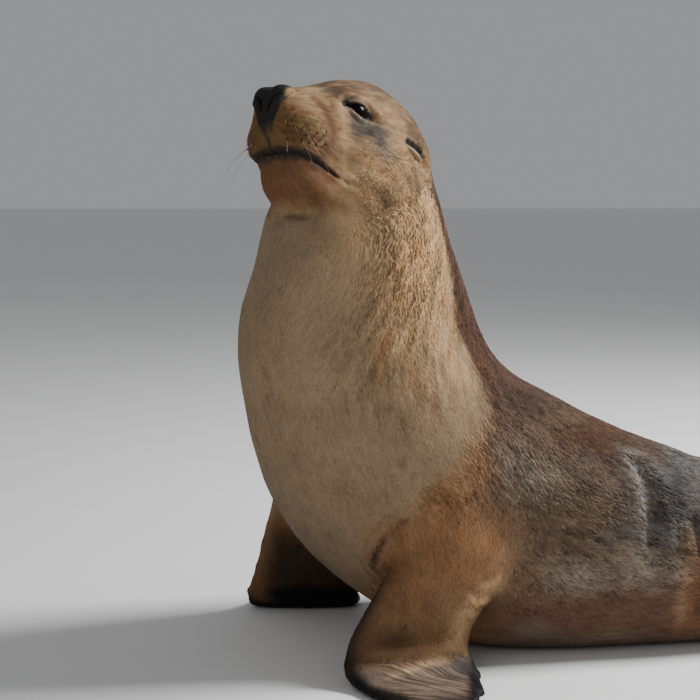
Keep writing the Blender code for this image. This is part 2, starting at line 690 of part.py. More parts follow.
def build():
    """Makes every node, in place but not yet centred, and returns them with their finishes."""
    rough = new_object("rough", make_flesh())
    floor = prism("below_the_floor", ((-3, -3), (3, -3), (3, 3), (-3, 3)), -1, 0, Matrix())
    cut = rough.modifiers.new("floor", "BOOLEAN")
    cut.operation, cut.object, cut.solver = "DIFFERENCE", floor, "EXACT"
    flesh = evaluated(rough, "flesh")
    nodes = {}
    eyes, nose, jaw = [], nose_block("nose_room", GAP), jaw_block("jaw_room", GAP)
    for side, word in ((-1, "left"), (1, "right")):
        forward, up, out = EYE
        centre = head_point(forward, up, side * out)
        eyes.append(("-", ball_cutter(f"socket_{word}", centre, (EYE_RADIUS + GAP,) * 3)))
        turn = Matrix.Rotation(HEAD_PITCH + LID_SLOPE, 4, "Y")
        slit = centre + Vector((0, side * EYE_RADIUS, 0))
        eyes.append(("-", ball_cutter(f"slit_{word}", slit, (LIDS[1], 0.020, LIDS[2]), turn)))
        ball = made_mesh("eye", lambda bm, centre=centre: add_ball(bm, centre, (EYE_RADIUS,) * 3, None, 14))
        ball.transform(posed_frame(tuple(centre)))
        nodes[f"eye_{word}"] = (new_object(f"eye_{word}", ball), "eye")
    nostrils = []
    for side in (-1, 1):
        forward, up, out = NOSTRIL
        turn = Matrix.Rotation(HEAD_PITCH, 4, "Y") @ Matrix.Rotation(side * math.radians(24), 4, "X")
        centre = head_point(forward, up, side * out)
        nostrils.append(("-", ball_cutter(f"nostril_{side}", centre, (0.010, 0.004, 0.008), turn, 10)))
    nodes["head"] = (sliced("head", flesh, *eyes, ("-", jaw), ("-", nose)), "fawn_coat")
    nodes["lower_jaw"] = (sliced("head", flesh, ("+", jaw_block("jaw_block", 0))), "fawn_coat")
    nodes["lower_jaw"][0].name = "lower_jaw"
    nodes["head"][0].name = "head"
    nodes["nose_pad"] = (piece("nose_pad", flesh, ("+", nose_block("nose_block", 0)), *nostrils), "dark_skin")
    arms = [("-", arm_block(f"arm_room_{side}", side, GAP)) for side in (-1, 1)]
    feet = [("-", foot_block(f"foot_room_{side}", side, GAP)) for side in (-1, 1)]
    nodes["neck"] = (sliced("neck", flesh), "cream_coat")
    nodes["chest"] = (sliced("chest", flesh, *arms), "cream_coat")
    nodes["loin"] = (sliced("loin", flesh), "brown_coat")
    nodes["pelvis"] = (sliced("pelvis", flesh, *feet), "brown_coat")
    nodes["tail"] = (sliced("tail", flesh), "brown_coat")
    fat = swollen(flesh, GAP)
    for side, word in ((-1, "left"), (1, "right")):
        arm, hand = arm_block(f"arm_{word}_block", side, 0), hand_block(f"hand_{word}_room", side, GAP)
        nodes[f"arm_{word}"] = (piece(f"arm_{word}", flesh, ("+", arm), ("-", hand)), "brown_coat")
        hand = hand_block(f"hand_{word}_block", side, 0)
        name = f"fore_flipper_{word}"
        nodes[name] = (piece(name, flesh, ("+", arm), ("+", hand)), "dark_skin")
        foot = foot_block(f"foot_{word}_block", side, 0)
        name = f"hind_flipper_{word}"
        nodes[name] = (piece(name, flesh, ("+", foot)), "dark_skin")
        ear = made_mesh("ear", lambda bm, side=side: add_ear(bm, side))
        nodes[f"ear_{word}"] = (piece(f"ear_{word}", ear, ("-", fat)), "fawn_coat")
        for digit in CLAWS["digits"]:
            name = f"hind_claw_{word}_{digit}"
            claw = made_mesh("claw", lambda bm, side=side, digit=digit: add_claw(bm, side, digit))
            nodes[name] = (piece(name, claw, ("-", fat)), "claw")
    return nodes


def painted(name, finish):
    """A node's own material."""
    colour, roughness = COLOURS[finish]
    paint = bpy.data.materials.new(name)
    paint.use_nodes = True
    shader = paint.node_tree.nodes["Principled BSDF"]
    shader.inputs["Base Color"].default_value = (*colour, 1)
    shader.inputs["Roughness"].default_value = roughness
    return paint


def main():
    for thing in list(bpy.data.objects):
        bpy.data.objects.remove(thing)
    meshes = {}
    for name, (thing, finish) in build().items():
        thing.name = name
        meshes[name] = (settled(keep_largest(evaluated(thing, name))), finish)
    for thing in list(bpy.data.objects):
        bpy.data.objects.remove(thing)
    points = [v.co for mesh, _ in meshes.values() for v in mesh.vertices]
    low = Vector([min(p[i] for p in points) for i in range(3)])
    high = Vector([max(p[i] for p in points) for i in range(3)])
    middle = (low + high) / 2
    scale = BODY_LENGTH / 1.75
    home = Matrix.Scale(scale, 4) @ Matrix.Translation((-middle.x, -middle.y, -low.z))
    for name, (mesh, finish) in meshes.items():
        mesh.transform(home)
        mesh.materials.clear()
        mesh.materials.append(painted(name, finish))
        new_object(name, mesh)


main()
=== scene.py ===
import math

import bmesh
import bpy
import numpy as np
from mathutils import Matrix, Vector, noise
from mathutils.bvhtree import BVHTree


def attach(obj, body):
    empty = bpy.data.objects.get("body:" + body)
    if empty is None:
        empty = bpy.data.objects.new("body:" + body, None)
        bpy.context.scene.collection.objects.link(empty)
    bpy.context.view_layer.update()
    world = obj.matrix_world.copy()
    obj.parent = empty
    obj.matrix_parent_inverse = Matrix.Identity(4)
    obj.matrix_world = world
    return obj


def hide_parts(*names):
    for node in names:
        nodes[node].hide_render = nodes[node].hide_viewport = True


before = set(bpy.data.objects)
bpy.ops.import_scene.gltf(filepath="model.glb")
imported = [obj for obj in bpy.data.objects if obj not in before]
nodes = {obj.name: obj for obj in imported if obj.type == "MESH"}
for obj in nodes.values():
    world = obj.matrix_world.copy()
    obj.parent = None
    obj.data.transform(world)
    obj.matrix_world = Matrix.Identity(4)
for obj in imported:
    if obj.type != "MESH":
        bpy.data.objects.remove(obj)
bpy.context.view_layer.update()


stance = {  # how the animal is posed: metres and degrees
    "shift": (0.37680, -0.04396),  # from the model's middle to the straight animal's zero
    "foreBend": (0.15, -1, 0.30, 15.3),  # start along X, way, length, degrees
    "rumpBend": (0.52, 1, 0.34, 12.0),
    "headPivot": (-0.1125, 0.0, 0.808),
    "neckRing": (-0.110, 0.0, 0.735),
    "ringNormal": (-0.386, 0.0, 0.922),
    "turn": (28.0, 0.28),  # degrees, and the length of neck that takes it up
    "roll": (-5.3, 0.13),
    "pitch": 13.0,
}


def ramp(low, high, value):  # smooth step from 0 to 1, either way round
    t = np.clip((value - low) / (high - low), 0.0, 1.0)
    return t * t * (3.0 - 2.0 * t)


def bump(value, middle, width):
    return np.exp(-(((value - middle) / width) ** 2))


def bent(x, y, start, way, length, degrees):
    turn = math.radians(degrees)
    radius, along = length / turn, (x - start) * way
    angle = turn * np.clip(along / length, 0.0, 1.0)
    beyond = np.maximum(along - length, 0.0)
    far = radius * np.sin(angle) + beyond * math.cos(turn)
    side = radius * (1 - np.cos(angle)) + beyond * math.sin(turn)
    before = along <= 0
    newX = np.where(before, x, start + way * (far + y * np.sin(angle)))
    return newX, np.where(before, y, y * np.cos(angle) - side)


def unbent(x, y, start, way, length, degrees):
    turn = math.radians(degrees)
    radius = length / turn
    dx, dy = (x - start) * way, y + radius
    angle = np.arctan2(dx, dy)
    before, within = dx < 0, angle < turn
    beyondX = length + dx * math.cos(turn) - dy * math.sin(turn)
    beyondY = dx * math.sin(turn) + dy * math.cos(turn) - radius
    along = np.where(before, dx, np.where(within, angle / turn * length, beyondX))
    side = np.where(before, y, np.where(within, np.hypot(dx, dy) - radius, beyondY))
    return start + way * along, side


def turned(vectors, axis, angles):  # about an axis through zero, one angle for each row
    axis = np.asarray(axis) / np.linalg.norm(axis)
    c, s = np.cos(angles)[:, None], np.sin(angles)[:, None]
    return vectors * c + np.cross(axis, vectors) * s + np.outer(vectors @ axis, axis) * (1 - c)


pivot, ring = np.array(stance["headPivot"]), np.array(stance["neckRing"])
pitch = math.radians(stance["pitch"])
headForward = np.array((-math.cos(pitch), 0.0, math.sin(pitch)))  # of the straight animal
headUp = np.array((math.sin(pitch), 0.0, math.cos(pitch)))


def headAngles(straight):
    above = (straight - ring) @ np.array(stance["ringNormal"])
    turn = math.radians(stance["turn"][0]) * ramp(-stance["turn"][1], 0.0, above)
    roll = math.radians(stance["roll"][0]) * ramp(-stance["roll"][1], 0.0, above)
    return turn, roll


def posed(straight):  # where a point of the straight animal goes
    turn, roll = headAngles(straight)
    p = pivot + turned(turned(straight - pivot, headForward, -roll), (0, 0, 1), turn)
    x, y = bent(p[:, 0], p[:, 1], *stance["foreBend"])
    x, y = bent(x, y, *stance["rumpBend"])
    return np.stack([x - stance["shift"][0], y - stance["shift"][1], p[:, 2]], 1)


def straightened(points):  # and back
    x, y = points[:, 0] + stance["shift"][0], points[:, 1] + stance["shift"][1]
    x, y = unbent(x, y, *stance["rumpBend"])
    x, y = unbent(x, y, *stance["foreBend"])
    placed = np.stack([x, y, points[:, 2]], 1)
    straight = placed.copy()
    for _ in range(8):
        turn, roll = headAngles(straight)
        straight = pivot + turned(turned(placed - pivot, (0, 0, 1), -turn), headForward, roll)
    return straight


def inHead(straight):  # forward, right, up from between the ears
    offset = straight - pivot
    return np.stack([offset @ headForward, offset[:, 1], offset @ headUp], 1)


def fromHead(local):
    local = np.atleast_2d(local).astype(float)
    return pivot + np.outer(local[:, 0], headForward) + np.outer(local[:, 2], headUp) \
        + np.outer(local[:, 1], (0.0, 1.0, 0.0))


def pointsOf(mesh):
    out = np.empty(len(mesh.vertices) * 3)
    mesh.vertices.foreach_get("co", out)
    return out.reshape(-1, 3)


def normalsOf(mesh):
    out = np.empty(len(mesh.vertices) * 3, np.float32)
    mesh.vertex_normals.foreach_get("vector", out)
    return out.reshape(-1, 3).astype(float)


def setPoints(mesh, points):
    mesh.vertices.foreach_set("co", points.ravel())
    mesh.update()


def newMesh(bm, name):
    mesh = bpy.data.meshes.new(name)
    bm.to_mesh(mesh)
    bm.free()
    return mesh


def newObject(name, data):
    thing = bpy.data.objects.new(name, data)
    bpy.context.collection.objects.link(thing)
    return thing


def smoothShaded(mesh):
    mesh.polygons.foreach_set("use_smooth", np.ones(len(mesh.polygons), bool))
    return mesh


def edgesOf(mesh):
    out = np.empty(len(mesh.edges) * 2, np.int32)
    mesh.edges.foreach_get("vertices", out)
    return out.reshape(-1, 2)


class Smoother:  # averages values over each vertex's neighbours
    def __init__(self, mesh):
        edges = edgesOf(mesh)
        self.count = len(mesh.vertices)
        self.a = np.concatenate([edges[:, 0], edges[:, 1]])
        self.b = np.concatenate([edges[:, 1], edges[:, 0]])
        self.degree = np.maximum(np.bincount(self.a, minlength=self.count), 1)

    def mean(self, values):
        if values.ndim == 1:
            return np.bincount(self.a, values[self.b], self.count) / self.degree
        return np.stack([self.mean(values[:, k]) for k in range(values.shape[1])], 1)

    def smooth(self, values, rounds, weight=0.5):
        for _ in range(rounds):
            step = self.mean(values) - values
            values = values + (step * weight if np.isscalar(weight) or values.ndim == 1
                               else step * weight[:, None])
        return values


def treeOf(mesh):
    return BVHTree.FromPolygons([v.co for v in mesh.vertices], [p.vertices for p in mesh.polygons])


def signedGap(tree, points, normals):  # how far the tree's surface is outwards of each point
    gap = np.zeros(len(points))
    for i, (p, n) in enumerate(zip(points, normals)):
        near = tree.find_nearest(Vector(p))
        gap[i] = (np.array(near[0]) - p) @ n
    return gap


skinPlan = {  # one skin over all the flesh
    "voxel": 0.0086,
    "depth": 0.0020,  # of the coat over it
    "bareDepth": 0.0004,  # on the flippers, which have none
    "rounds": 70,  # of smoothing
    "faceMiddle": (0.07, 0.0, -0.03),  # smoothed less round here, and on the flippers
    "unwrapAngle": 72,
    "unwrapMargin": 0.004,
    "passes": 2,  # of settling on the flesh, and the rounds that soften each
    "blur": 8,
    "flesh": ("head", "lower_jaw", "nose_pad", "neck", "chest", "loin", "pelvis", "tail",
              "arm_left", "arm_right", "fore_flipper_left", "fore_flipper_right",
              "hind_flipper_left", "hind_flipper_right"),
    "fillers": ("eye_left", "eye_right"),  # they close the sockets while it is wrapped
}


def joinedFlesh():
    bm = bmesh.new()
    for name in skinPlan["flesh"] + skinPlan["fillers"]:
        bm.from_mesh(nodes[name].data)
    bmesh.ops.remove_doubles(bm, verts=bm.verts, dist=1e-6)
    return newMesh(bm, "wrapped")


def wrapped(mesh):
    thing = newObject("wrapped", mesh)
    remesh = thing.modifiers.new("wrap", "REMESH")
    remesh.mode, remesh.voxel_size, remesh.adaptivity = "VOXEL", skinPlan["voxel"], 0.0
    graph = bpy.context.evaluated_depsgraph_get()
    made = bpy.data.meshes.new_from_object(thing.evaluated_get(graph))
    bpy.data.objects.remove(thing)
    return made


def thinness(points):  # 1 on the flippers and the tail, 0 on the body
    s = straightened(points)
    hand = ramp(0.060, 0.030, s[:, 2]) * ramp(0.16, 0.20, np.abs(s[:, 1])) * (s[:, 0] < 0.25)
    rear = ramp(0.045, 0.025, s[:, 2]) * ramp(0.60, 0.70, s[:, 0]) * ramp(0.14, 0.19, np.abs(s[:, 1]))
    tail = ramp(0.97, 1.00, s[:, 0])
    return np.clip(hand + rear + tail, 0, 1)


def settledOn(mesh, tree, depth, weight):
    smoother = Smoother(mesh)
    points = smoother.smooth(pointsOf(mesh), skinPlan["rounds"], weight)
    for _ in range(skinPlan["passes"]):
        setPoints(mesh, points)
        normals = normalsOf(mesh)
        gap = smoother.smooth(signedGap(tree, points, normals), skinPlan["blur"])
        points = points + normals * (gap - depth)[:, None]
    setPoints(mesh, points)


def divided(mesh, near):  # halves the edges whose two ends are both near
    bm = bmesh.new()
    bm.from_mesh(mesh)
    bm.verts.ensure_lookup_table()
    chosen = near(pointsOf(mesh))
    edges = [e for e in bm.edges if chosen[e.verts[0].index] and chosen[e.verts[1].index]]
    bmesh.ops.subdivide_edges(bm, edges=edges, cuts=1, use_grid_fill=True)
    bm.to_mesh(mesh)
    bm.free()


raw = wrapped(joinedFlesh())
surface = treeOf(raw)
skinMesh = raw.copy()
rawPoints = pointsOf(skinMesh)
thin = thinness(rawPoints)
headReach = np.linalg.norm(inHead(straightened(rawPoints)) - np.array(skinPlan["faceMiddle"]), axis=1)
weights = 0.5 * (1 - 0.85 * thin) * (1 - 0.75 * ramp(0.24, 0.12, headReach))
depths = skinPlan["depth"] + (skinPlan["bareDepth"] - skinPlan["depth"]) * thin
settledOn(skinMesh, surface, depths, weights)
print("skin wrapped:", len(skinMesh.vertices), "points")


def unwrapped(mesh):  # the map that the coat's roots are placed by
    thing = newObject("unwrap", mesh)
    bpy.context.view_layer.objects.active = thing
    thing.select_set(True)
    mesh.uv_layers.new(name="OFBake")
    bpy.ops.object.mode_set(mode="EDIT")
    bpy.ops.mesh.select_all(action="SELECT")
    bpy.ops.uv.smart_project(angle_limit=math.radians(skinPlan["unwrapAngle"]),
                             island_margin=skinPlan["unwrapMargin"], area_weight=0.6)
    bpy.ops.object.mode_set(mode="OBJECT")
    bpy.data.objects.remove(thing)


unwrapped(skinMesh)
print("skin unwrapped")


headPlan = {
    "head": ((0.070, 0.0, -0.030), 0.155),  # middle forward, right, up, and reach of the finer mesh
    "face": ((0.155, 0.0, -0.035), 0.108),
    "eyeReach": 0.034,
}
eyePlan = {
    "middle": (0.095, 0.0440, 0.013),  # forward, out, up
    "radius": 0.0235,
    "gaze": (0.270, 0.940, 0.200),
    "slit": (0.919, -0.3125, 0.239),  # from the rear corner to the front one
    "above": (-0.287, -0.119, 0.948),
    "half": 0.0260,  # of the opening's length, and its height above and below the slit
    "top": 0.0062,
    "bottom": 0.0110,
    "lidTop": 0.0036,  # thickness of the lids
    "lidBottom": 0.0027,
    "white": (0.085, 0.062, 0.048),
    "iris": (0.020, 0.012, 0.007),
    "pupil": (0.004, 0.003, 0.003),
    "rough": 0.16,
    "specular": 0.07,
    "ior": 1.38,
    "rows": 28,
    "columns": 40,
}
earSlot = ((-0.001, 0.0860, -0.0080), (-0.016, 0.0865, -0.0105), (-0.038, 0.0860, -0.0160))  # behind the ear
mouthLine = ((0.105, -0.101), (0.136, -0.094), (0.170, -0.084), (0.214, -0.074), (0.260, -0.070))
nosePatch = ((-0.052, 0.004), (-0.032, 0.012), (-0.008, 0.022), (0.008, 0.031), (0.040, 0.033))


def headLocal(points):
    return inHead(straightened(points))


def eyeLocal(local, side):  # along the slit, up across it, out of the eye
    e = eyePlan
    q = local * (1, side, 1) - np.array(e["middle"])
    return np.stack([q @ np.array(e[k]) for k in ("slit", "above", "gaze")], 1)


def slitGap(eye):  # how far outside the opening between the lids
    e = eyePlan
    x = np.clip(eye[:, 0] / e["half"], -1, 1)
    top = e["top"] * (1 - np.abs(x) ** 2.2)
    bottom = -e["bottom"] * (1 - x * x) * (1 - 0.40 * x)
    inside = np.maximum(eye[:, 1] - top, bottom - eye[:, 1])
    beyond = np.hypot(np.abs(eye[:, 0]) - e["half"], eye[:, 1])
    return np.where(np.abs(eye[:, 0]) < e["half"], inside, beyond)


def lidGap(eye):  # the same, and far behind the opening
    return np.where(eye[:, 2] > -0.004, slitGap(eye), 1.0)


def noseHalf(up):
    return np.interp(up, *zip(*nosePatch))


def mouthUp(forward):
    return np.interp(forward, *zip(*mouthLine))


def refined(mesh, near, rounds, blur):  # a finer mesh there, smoothed and settled on the flesh again
    divided(mesh, near)
    points = pointsOf(mesh)
    chosen = near(points)
    smoother = Smoother(mesh)
    points = smoother.smooth(points, rounds, 0.5 * chosen)
    setPoints(mesh, points)
    normals = normalsOf(mesh)
    gap = np.full(len(points), skinPlan["depth"])
    gap[chosen] = signedGap(surface, points[chosen], normals[chosen])
    gap = smoother.smooth(gap, blur) - skinPlan["depth"]
    setPoints(mesh, points + normals * (gap * chosen)[:, None])


def within(which):
    middle, reach = headPlan[which]
    return lambda points: np.linalg.norm(headLocal(points) - np.array(middle), axis=1) < reach


def nearDetail(points):  # eyes, nose and lips
    local = headLocal(points)
    close = np.zeros(len(points), bool)
    for side in (-1, 1):
        eye = eyeLocal(local, side)
        close |= (np.hypot(eye[:, 0], eye[:, 1] * 1.3) < headPlan["eyeReach"]) & (eye[:, 2] > -0.005)
    lips = (np.abs(local[:, 2] - mouthUp(local[:, 0])) < 0.008) & (local[:, 0] > 0.112)
    nose = (local[:, 0] > 0.205) & (np.abs(local[:, 1]) < noseHalf(local[:, 2]) + 0.006)
    f, out, u = local[:, 0], np.abs(local[:, 1]), local[:, 2]
    pads = (f > 0.150) & (u > mouthUp(f)) & (u < -0.010) & (out > 0.008)
    return close | ((lips | nose | pads) & (f < 0.30))


for near, rounds, blur in ((within("head"), 6, 8), (within("face"), 6, 10), (nearDetail, 3, 6)):
    refined(skinMesh, near, rounds, blur)
print("head refined:", len(skinMesh.vertices), "points")


def pathGap(points, path):  # distance from a row of points, and how far along it, from 0 to 1
    best, far = np.full(len(points), 1e9), np.zeros(len(points))
    path = np.array(path, float)
    steps = np.linalg.norm(np.diff(path, axis=0), axis=1)
    before = np.concatenate([[0], np.cumsum(steps)])
    for a, b, start, step in zip(path, path[1:], before, steps):
        t = np.clip((points - a) @ (b - a) / step ** 2, 0, 1)
        gap = np.linalg.norm(points - (a + t[:, None] * (b - a)), axis=1)
        nearer = gap < best
        best[nearer] = gap[nearer]
        far[nearer] = (start + t[nearer] * step) / before[-1]
    return best, far


def gapTo(path, *columns):
    return pathGap(np.stack(columns, 1), path)[0]


creases = {  # on the straight animal, both sides: path of x, out, z; depth, half width
    "armpit": (((-0.124, 0.184, 0.238), (-0.139, 0.174, 0.222), (-0.151, 0.159, 0.207),
                (-0.155, 0.140, 0.180), (-0.154, 0.122, 0.152)), 0.0075, 0.0055),
    "armpitFold": (((-0.134, 0.178, 0.250), (-0.156, 0.165, 0.236), (-0.166, 0.148, 0.208),
                    (-0.168, 0.136, 0.180)), 0.0040, 0.0045),
    "axillaUpper": (((-0.022, 0.226, 0.135), (0.010, 0.218, 0.118), (0.040, 0.207, 0.118),
                     (0.062, 0.200, 0.140)), 0.0045, 0.006),
    "axillaLower": (((-0.030, 0.222, 0.112), (0.005, 0.215, 0.098), (0.045, 0.203, 0.096)), 0.004, 0.005),
    "loinFront": (((0.300, 0.100, 0.318), (0.318, 0.140, 0.280), (0.322, 0.172, 0.240), (0.318, 0.186, 0.205),
                   (0.322, 0.196, 0.160)), 0.0110, 0.013),
    "loinMiddle": (((0.352, 0.150, 0.262), (0.362, 0.178, 0.220), (0.366, 0.190, 0.170)), 0.0028, 0.010),
    "loinRear": (((0.385, 0.160, 0.235), (0.398, 0.182, 0.180), (0.408, 0.190, 0.110), (0.405, 0.186, 0.050)),
                 0.0080, 0.010),
    "wrist": (((-0.232, 0.222, 0.036), (-0.160, 0.238, 0.036), (-0.082, 0.240, 0.034),
               (-0.030, 0.232, 0.030)), 0.0035, 0.006),
    "heel": (((-0.052, 0.234, 0.062), (-0.040, 0.238, 0.045), (-0.034, 0.244, 0.030)), 0.0090, 0.006),
    "elbow": (((0.030, 0.214, 0.150), (0.010, 0.226, 0.140), (-0.012, 0.230, 0.128)), 0.0030, 0.005),
    "throat": (((-0.317, 0.000, 0.694), (-0.311, 0.033, 0.689), (-0.293, 0.058, 0.692)), 0.003, 0.005),
    "jowl": (((-0.262, 0.060, 0.742), (-0.240, 0.080, 0.722), (-0.222, 0.088, 0.700)), 0.0016, 0.005),
}


def creased(mesh):
    points, normals = pointsOf(mesh), normalsOf(mesh)
    straight = straightened(points)
    straight[:, 1] = np.abs(straight[:, 1])
    for path, depth, width in creases.values():
        gap, far = pathGap(straight, path)
        fade = ramp(0.0, 0.15, far) * ramp(1.0, 0.85, far)
        amount = 0.35 * depth * bump(gap, 2.2 * width, 1.1 * width) - depth * bump(gap, 0.0, width)
        points += normals * (amount * fade)[:, None]
    setPoints(mesh, points)


faceRelief = {  # height, then where its middle lies and its half width
    "upperLip": (0.0022, 0.0085, 0.0065),
    "lowerLip": (0.0016, -0.0070, 0.0050),
    "mouth": (-0.0052, 0.0, 0.0019),
    "lipGroove": (-0.0022, 0.0, 0.0026),
    "noseRim": (-0.0012, 0.0012, 0.0012),
    "noseGroove": (-0.0014, 0.0, 0.0022),
    "earSlot": (-0.0060, 0.0, 0.0036),
    "lidCrease": (-0.0013, 0.0085, 0.0016),
    "brow": (0.0020, 0.0150, 0.0050),
    "lowerCrease": (-0.0011, 0.0105, 0.0018),
    "noseHeight": 0.0032,
    "nostrilDepth": 0.0075,
}
nostrilLine = ((0.0065, -0.016), (0.0085, -0.004), (0.0145, 0.005), (0.0215, 0.0075))
nostrilWidth = ((0, 0.35, 0.8, 1), (0.0010, 0.0026, 0.0020, 0.0010))
nostrilWings = ((0.0030, 0.0215, -0.0035, 0.0075), (0.0018, 0.0150, 0.0160, 0.0110))  # height, out, up, reach


def ridge(name, gap):
    height, middle, width = faceRelief[name]
    return height * bump(gap, middle, width)


def faceForms(mesh):  # lips, nose and brows, pushed along the normals
    points, normals = pointsOf(mesh), normalsOf(mesh)
    local = headLocal(points)
    f, r, u = local.T
    out = np.abs(r)
    lip = u - mouthUp(f)
    amount = (ridge("upperLip", lip) + ridge("lowerLip", lip)) * ramp(0.124, 0.145, f)
    amount += ridge("mouth", lip) * ramp(0.128, 0.138, f)
    amount += ridge("lipGroove", r) * ramp(0.195, 0.215, f) * ramp(-0.045, -0.052, u) * (lip > -0.001)
    fromEdge = out - noseHalf(u)
    onNose = ramp(0.0015, -0.0015, fromEdge) * ramp(0.210, 0.216, f) * ramp(-0.056, -0.050, u)
    amount += faceRelief["noseHeight"] * onNose
    amount += ridge("noseRim", fromEdge) * ramp(0.210, 0.216, f) * (u > -0.05) * (u < 0.03)
    amount += ridge("noseGroove", r) * (f > 0.225) * ramp(0.012, 0.004, u)
    nostril, far = pathGap(np.stack([out, u], 1), nostrilLine)
    wide = np.interp(far, *nostrilWidth)
    amount -= faceRelief["nostrilDepth"] * bump(nostril, 0.0, wide) * (f > 0.215)
    for height, wingOut, wingUp, reach in nostrilWings:
        amount += height * bump(np.hypot(out - wingOut, u - wingUp), 0.0, reach) * (f > 0.21)
    slot = gapTo(earSlot, f, out, u)
    amount += ridge("earSlot", slot)
    for side in (-1, 1):
        eye = eyeLocal(local, side)
        gap, outside = slitGap(eye), eye[:, 2] > 0
        amount += (ridge("lidCrease", gap) + ridge("brow", gap)) * (eye[:, 1] > 0) * outside
        amount += ridge("lowerCrease", gap) * (eye[:, 1] < 0) * outside
    face = (f > 0.05) & (f < 0.30) & (u > -0.20) & (u < 0.12) & (out < 0.12)
    setPoints(mesh, points + normals * (amount * (face | (slot < 0.02)))[:, None])


def lidded(mesh):  # lids that lie on the balls
    points = pointsOf(mesh)
    local = headLocal(points)
    radius = eyePlan["radius"]
    for side in (-1, 1):
        eye = eyeLocal(local, side)
        gap = slitGap(eye)
        near = (eye[:, 2] > -0.004) & (gap < 0.016) & (np.linalg.norm(eye, axis=1) < 0.06)
        reach = np.linalg.norm(eye[near], axis=1)
        g, y = gap[near], eye[near, 1]
        lid = radius + np.where(y > 0, eyePlan["lidTop"], eyePlan["lidBottom"])
        outside = lid + (reach - lid) * ramp(0.0035, 0.0150, g)
        aimed = np.where(g < 0, radius - 0.0045, outside)
        moved = local[near] * (1, side, 1) - np.array(eyePlan["middle"])
        moved = np.array(eyePlan["middle"]) + moved * (aimed / reach)[:, None]
        points[near] += posed(fromHead(moved * (1, side, 1))) - posed(fromHead(local[near]))
    setPoints(mesh, points)


creased(skinMesh)
faceForms(skinMesh)
lidded(skinMesh)
print("face made")


trunkRows = np.array((  # back x, z, belly x, z, half width, from the nape to the rump
    (-0.036, 0.850, -0.185, 0.785, 0.068), (-0.015, 0.795, -0.290, 0.730, 0.100),
    (0.006, 0.722, -0.324, 0.676, 0.128), (0.034, 0.640, -0.335, 0.590, 0.152),
    (0.061, 0.560, -0.332, 0.500, 0.171), (0.088, 0.490, -0.314, 0.410, 0.187),
    (0.132, 0.440, -0.294, 0.318, 0.198), (0.200, 0.401, -0.262, 0.232, 0.205),
    (0.270, 0.364, -0.202, 0.145, 0.208), (0.340, 0.332, -0.110, 0.066, 0.208),
    (0.410, 0.306, 0.005, 0.004, 0.205), (0.480, 0.280, 0.140, -0.020, 0.199),
    (0.580, 0.262, 0.340, -0.022, 0.192), (0.680, 0.252, 0.520, -0.022, 0.182),
    (0.780, 0.236, 0.680, -0.018, 0.163), (0.870, 0.210, 0.810, -0.008, 0.135),
    (0.945, 0.170, 0.905, 0.020, 0.098), (1.000, 0.125, 0.975, 0.055, 0.050)))
trunkMiddles = (trunkRows[:, 0:2] + trunkRows[:, 2:4]) / 2
trunkMetres = np.concatenate([[0], np.cumsum(np.linalg.norm(np.diff(trunkMiddles, axis=0), axis=1))])


def trunkPlace(straight):  # metres along from the nape, and the angle round from the belly's middle
    back, belly, half = trunkRows[:, 0:2], trunkRows[:, 2:4], trunkRows[:, 4]
    line = belly - back
    flat = straight[:, [0, 2]]
    side = line[:, 0] * (flat[:, None, 1] - back[:, 1]) - line[:, 1] * (flat[:, None, 0] - back[:, 0])
    past = side > 0
    last = len(trunkRows) - 2
    k = np.clip(past.sum(1) - 1, 0, last)
    rows = np.arange(len(flat))
    a, b = side[rows, k], side[rows, k + 1]
    t = np.clip(a / np.where(np.abs(a - b) < 1e-9, 1e-9, a - b), 0, 1)
    start = back[k] * (1 - t)[:, None] + back[k + 1] * t[:, None]
    cross = line[k] * (1 - t)[:, None] + line[k + 1] * t[:, None]
    depth = ((flat - start) * cross).sum(1) / (cross ** 2).sum(1)
    width = np.abs(straight[:, 1]) / (half[k] * (1 - t) + half[k + 1] * t)
    metres = trunkMetres[k] * (1 - t) + trunkMetres[k + 1] * t
    return metres, np.degrees(np.arctan2(width, 2 * depth - 1))


cadPolygons, cadOwners, cadCorners = [], [], []
for index, name in enumerate(skinPlan["flesh"]):
    base = len(cadCorners)
    cadCorners += [v.co.copy() for v in nodes[name].data.vertices]
    cadPolygons += [[base + k for k in p.vertices] for p in nodes[name].data.polygons]
    cadOwners += [index] * len(nodes[name].data.polygons)
cadTree = BVHTree.FromPolygons(cadCorners, cadPolygons)
skinPoints = pointsOf(skinMesh)
owner = np.array([cadOwners[cadTree.find_nearest(Vector(p))[2]] for p in skinPoints])
skinSmoother = Smoother(skinMesh)


def ofNodes(*names, rounds=10):  # how far each point belongs to these nodes, softened at their edges
    mine = np.isin(owner, [skinPlan["flesh"].index(n) for n in names]).astype(float)
    return skinSmoother.smooth(mine, rounds)


def grain(scale, seed, octaves=3):  # -1 to 1
    shift = Vector((seed * 7.31, seed * 3.17, seed * 5.53))
    return np.array([noise.fractal(Vector(p) * scale + shift, 1.0, 2.0, octaves) for p in skinPoints])


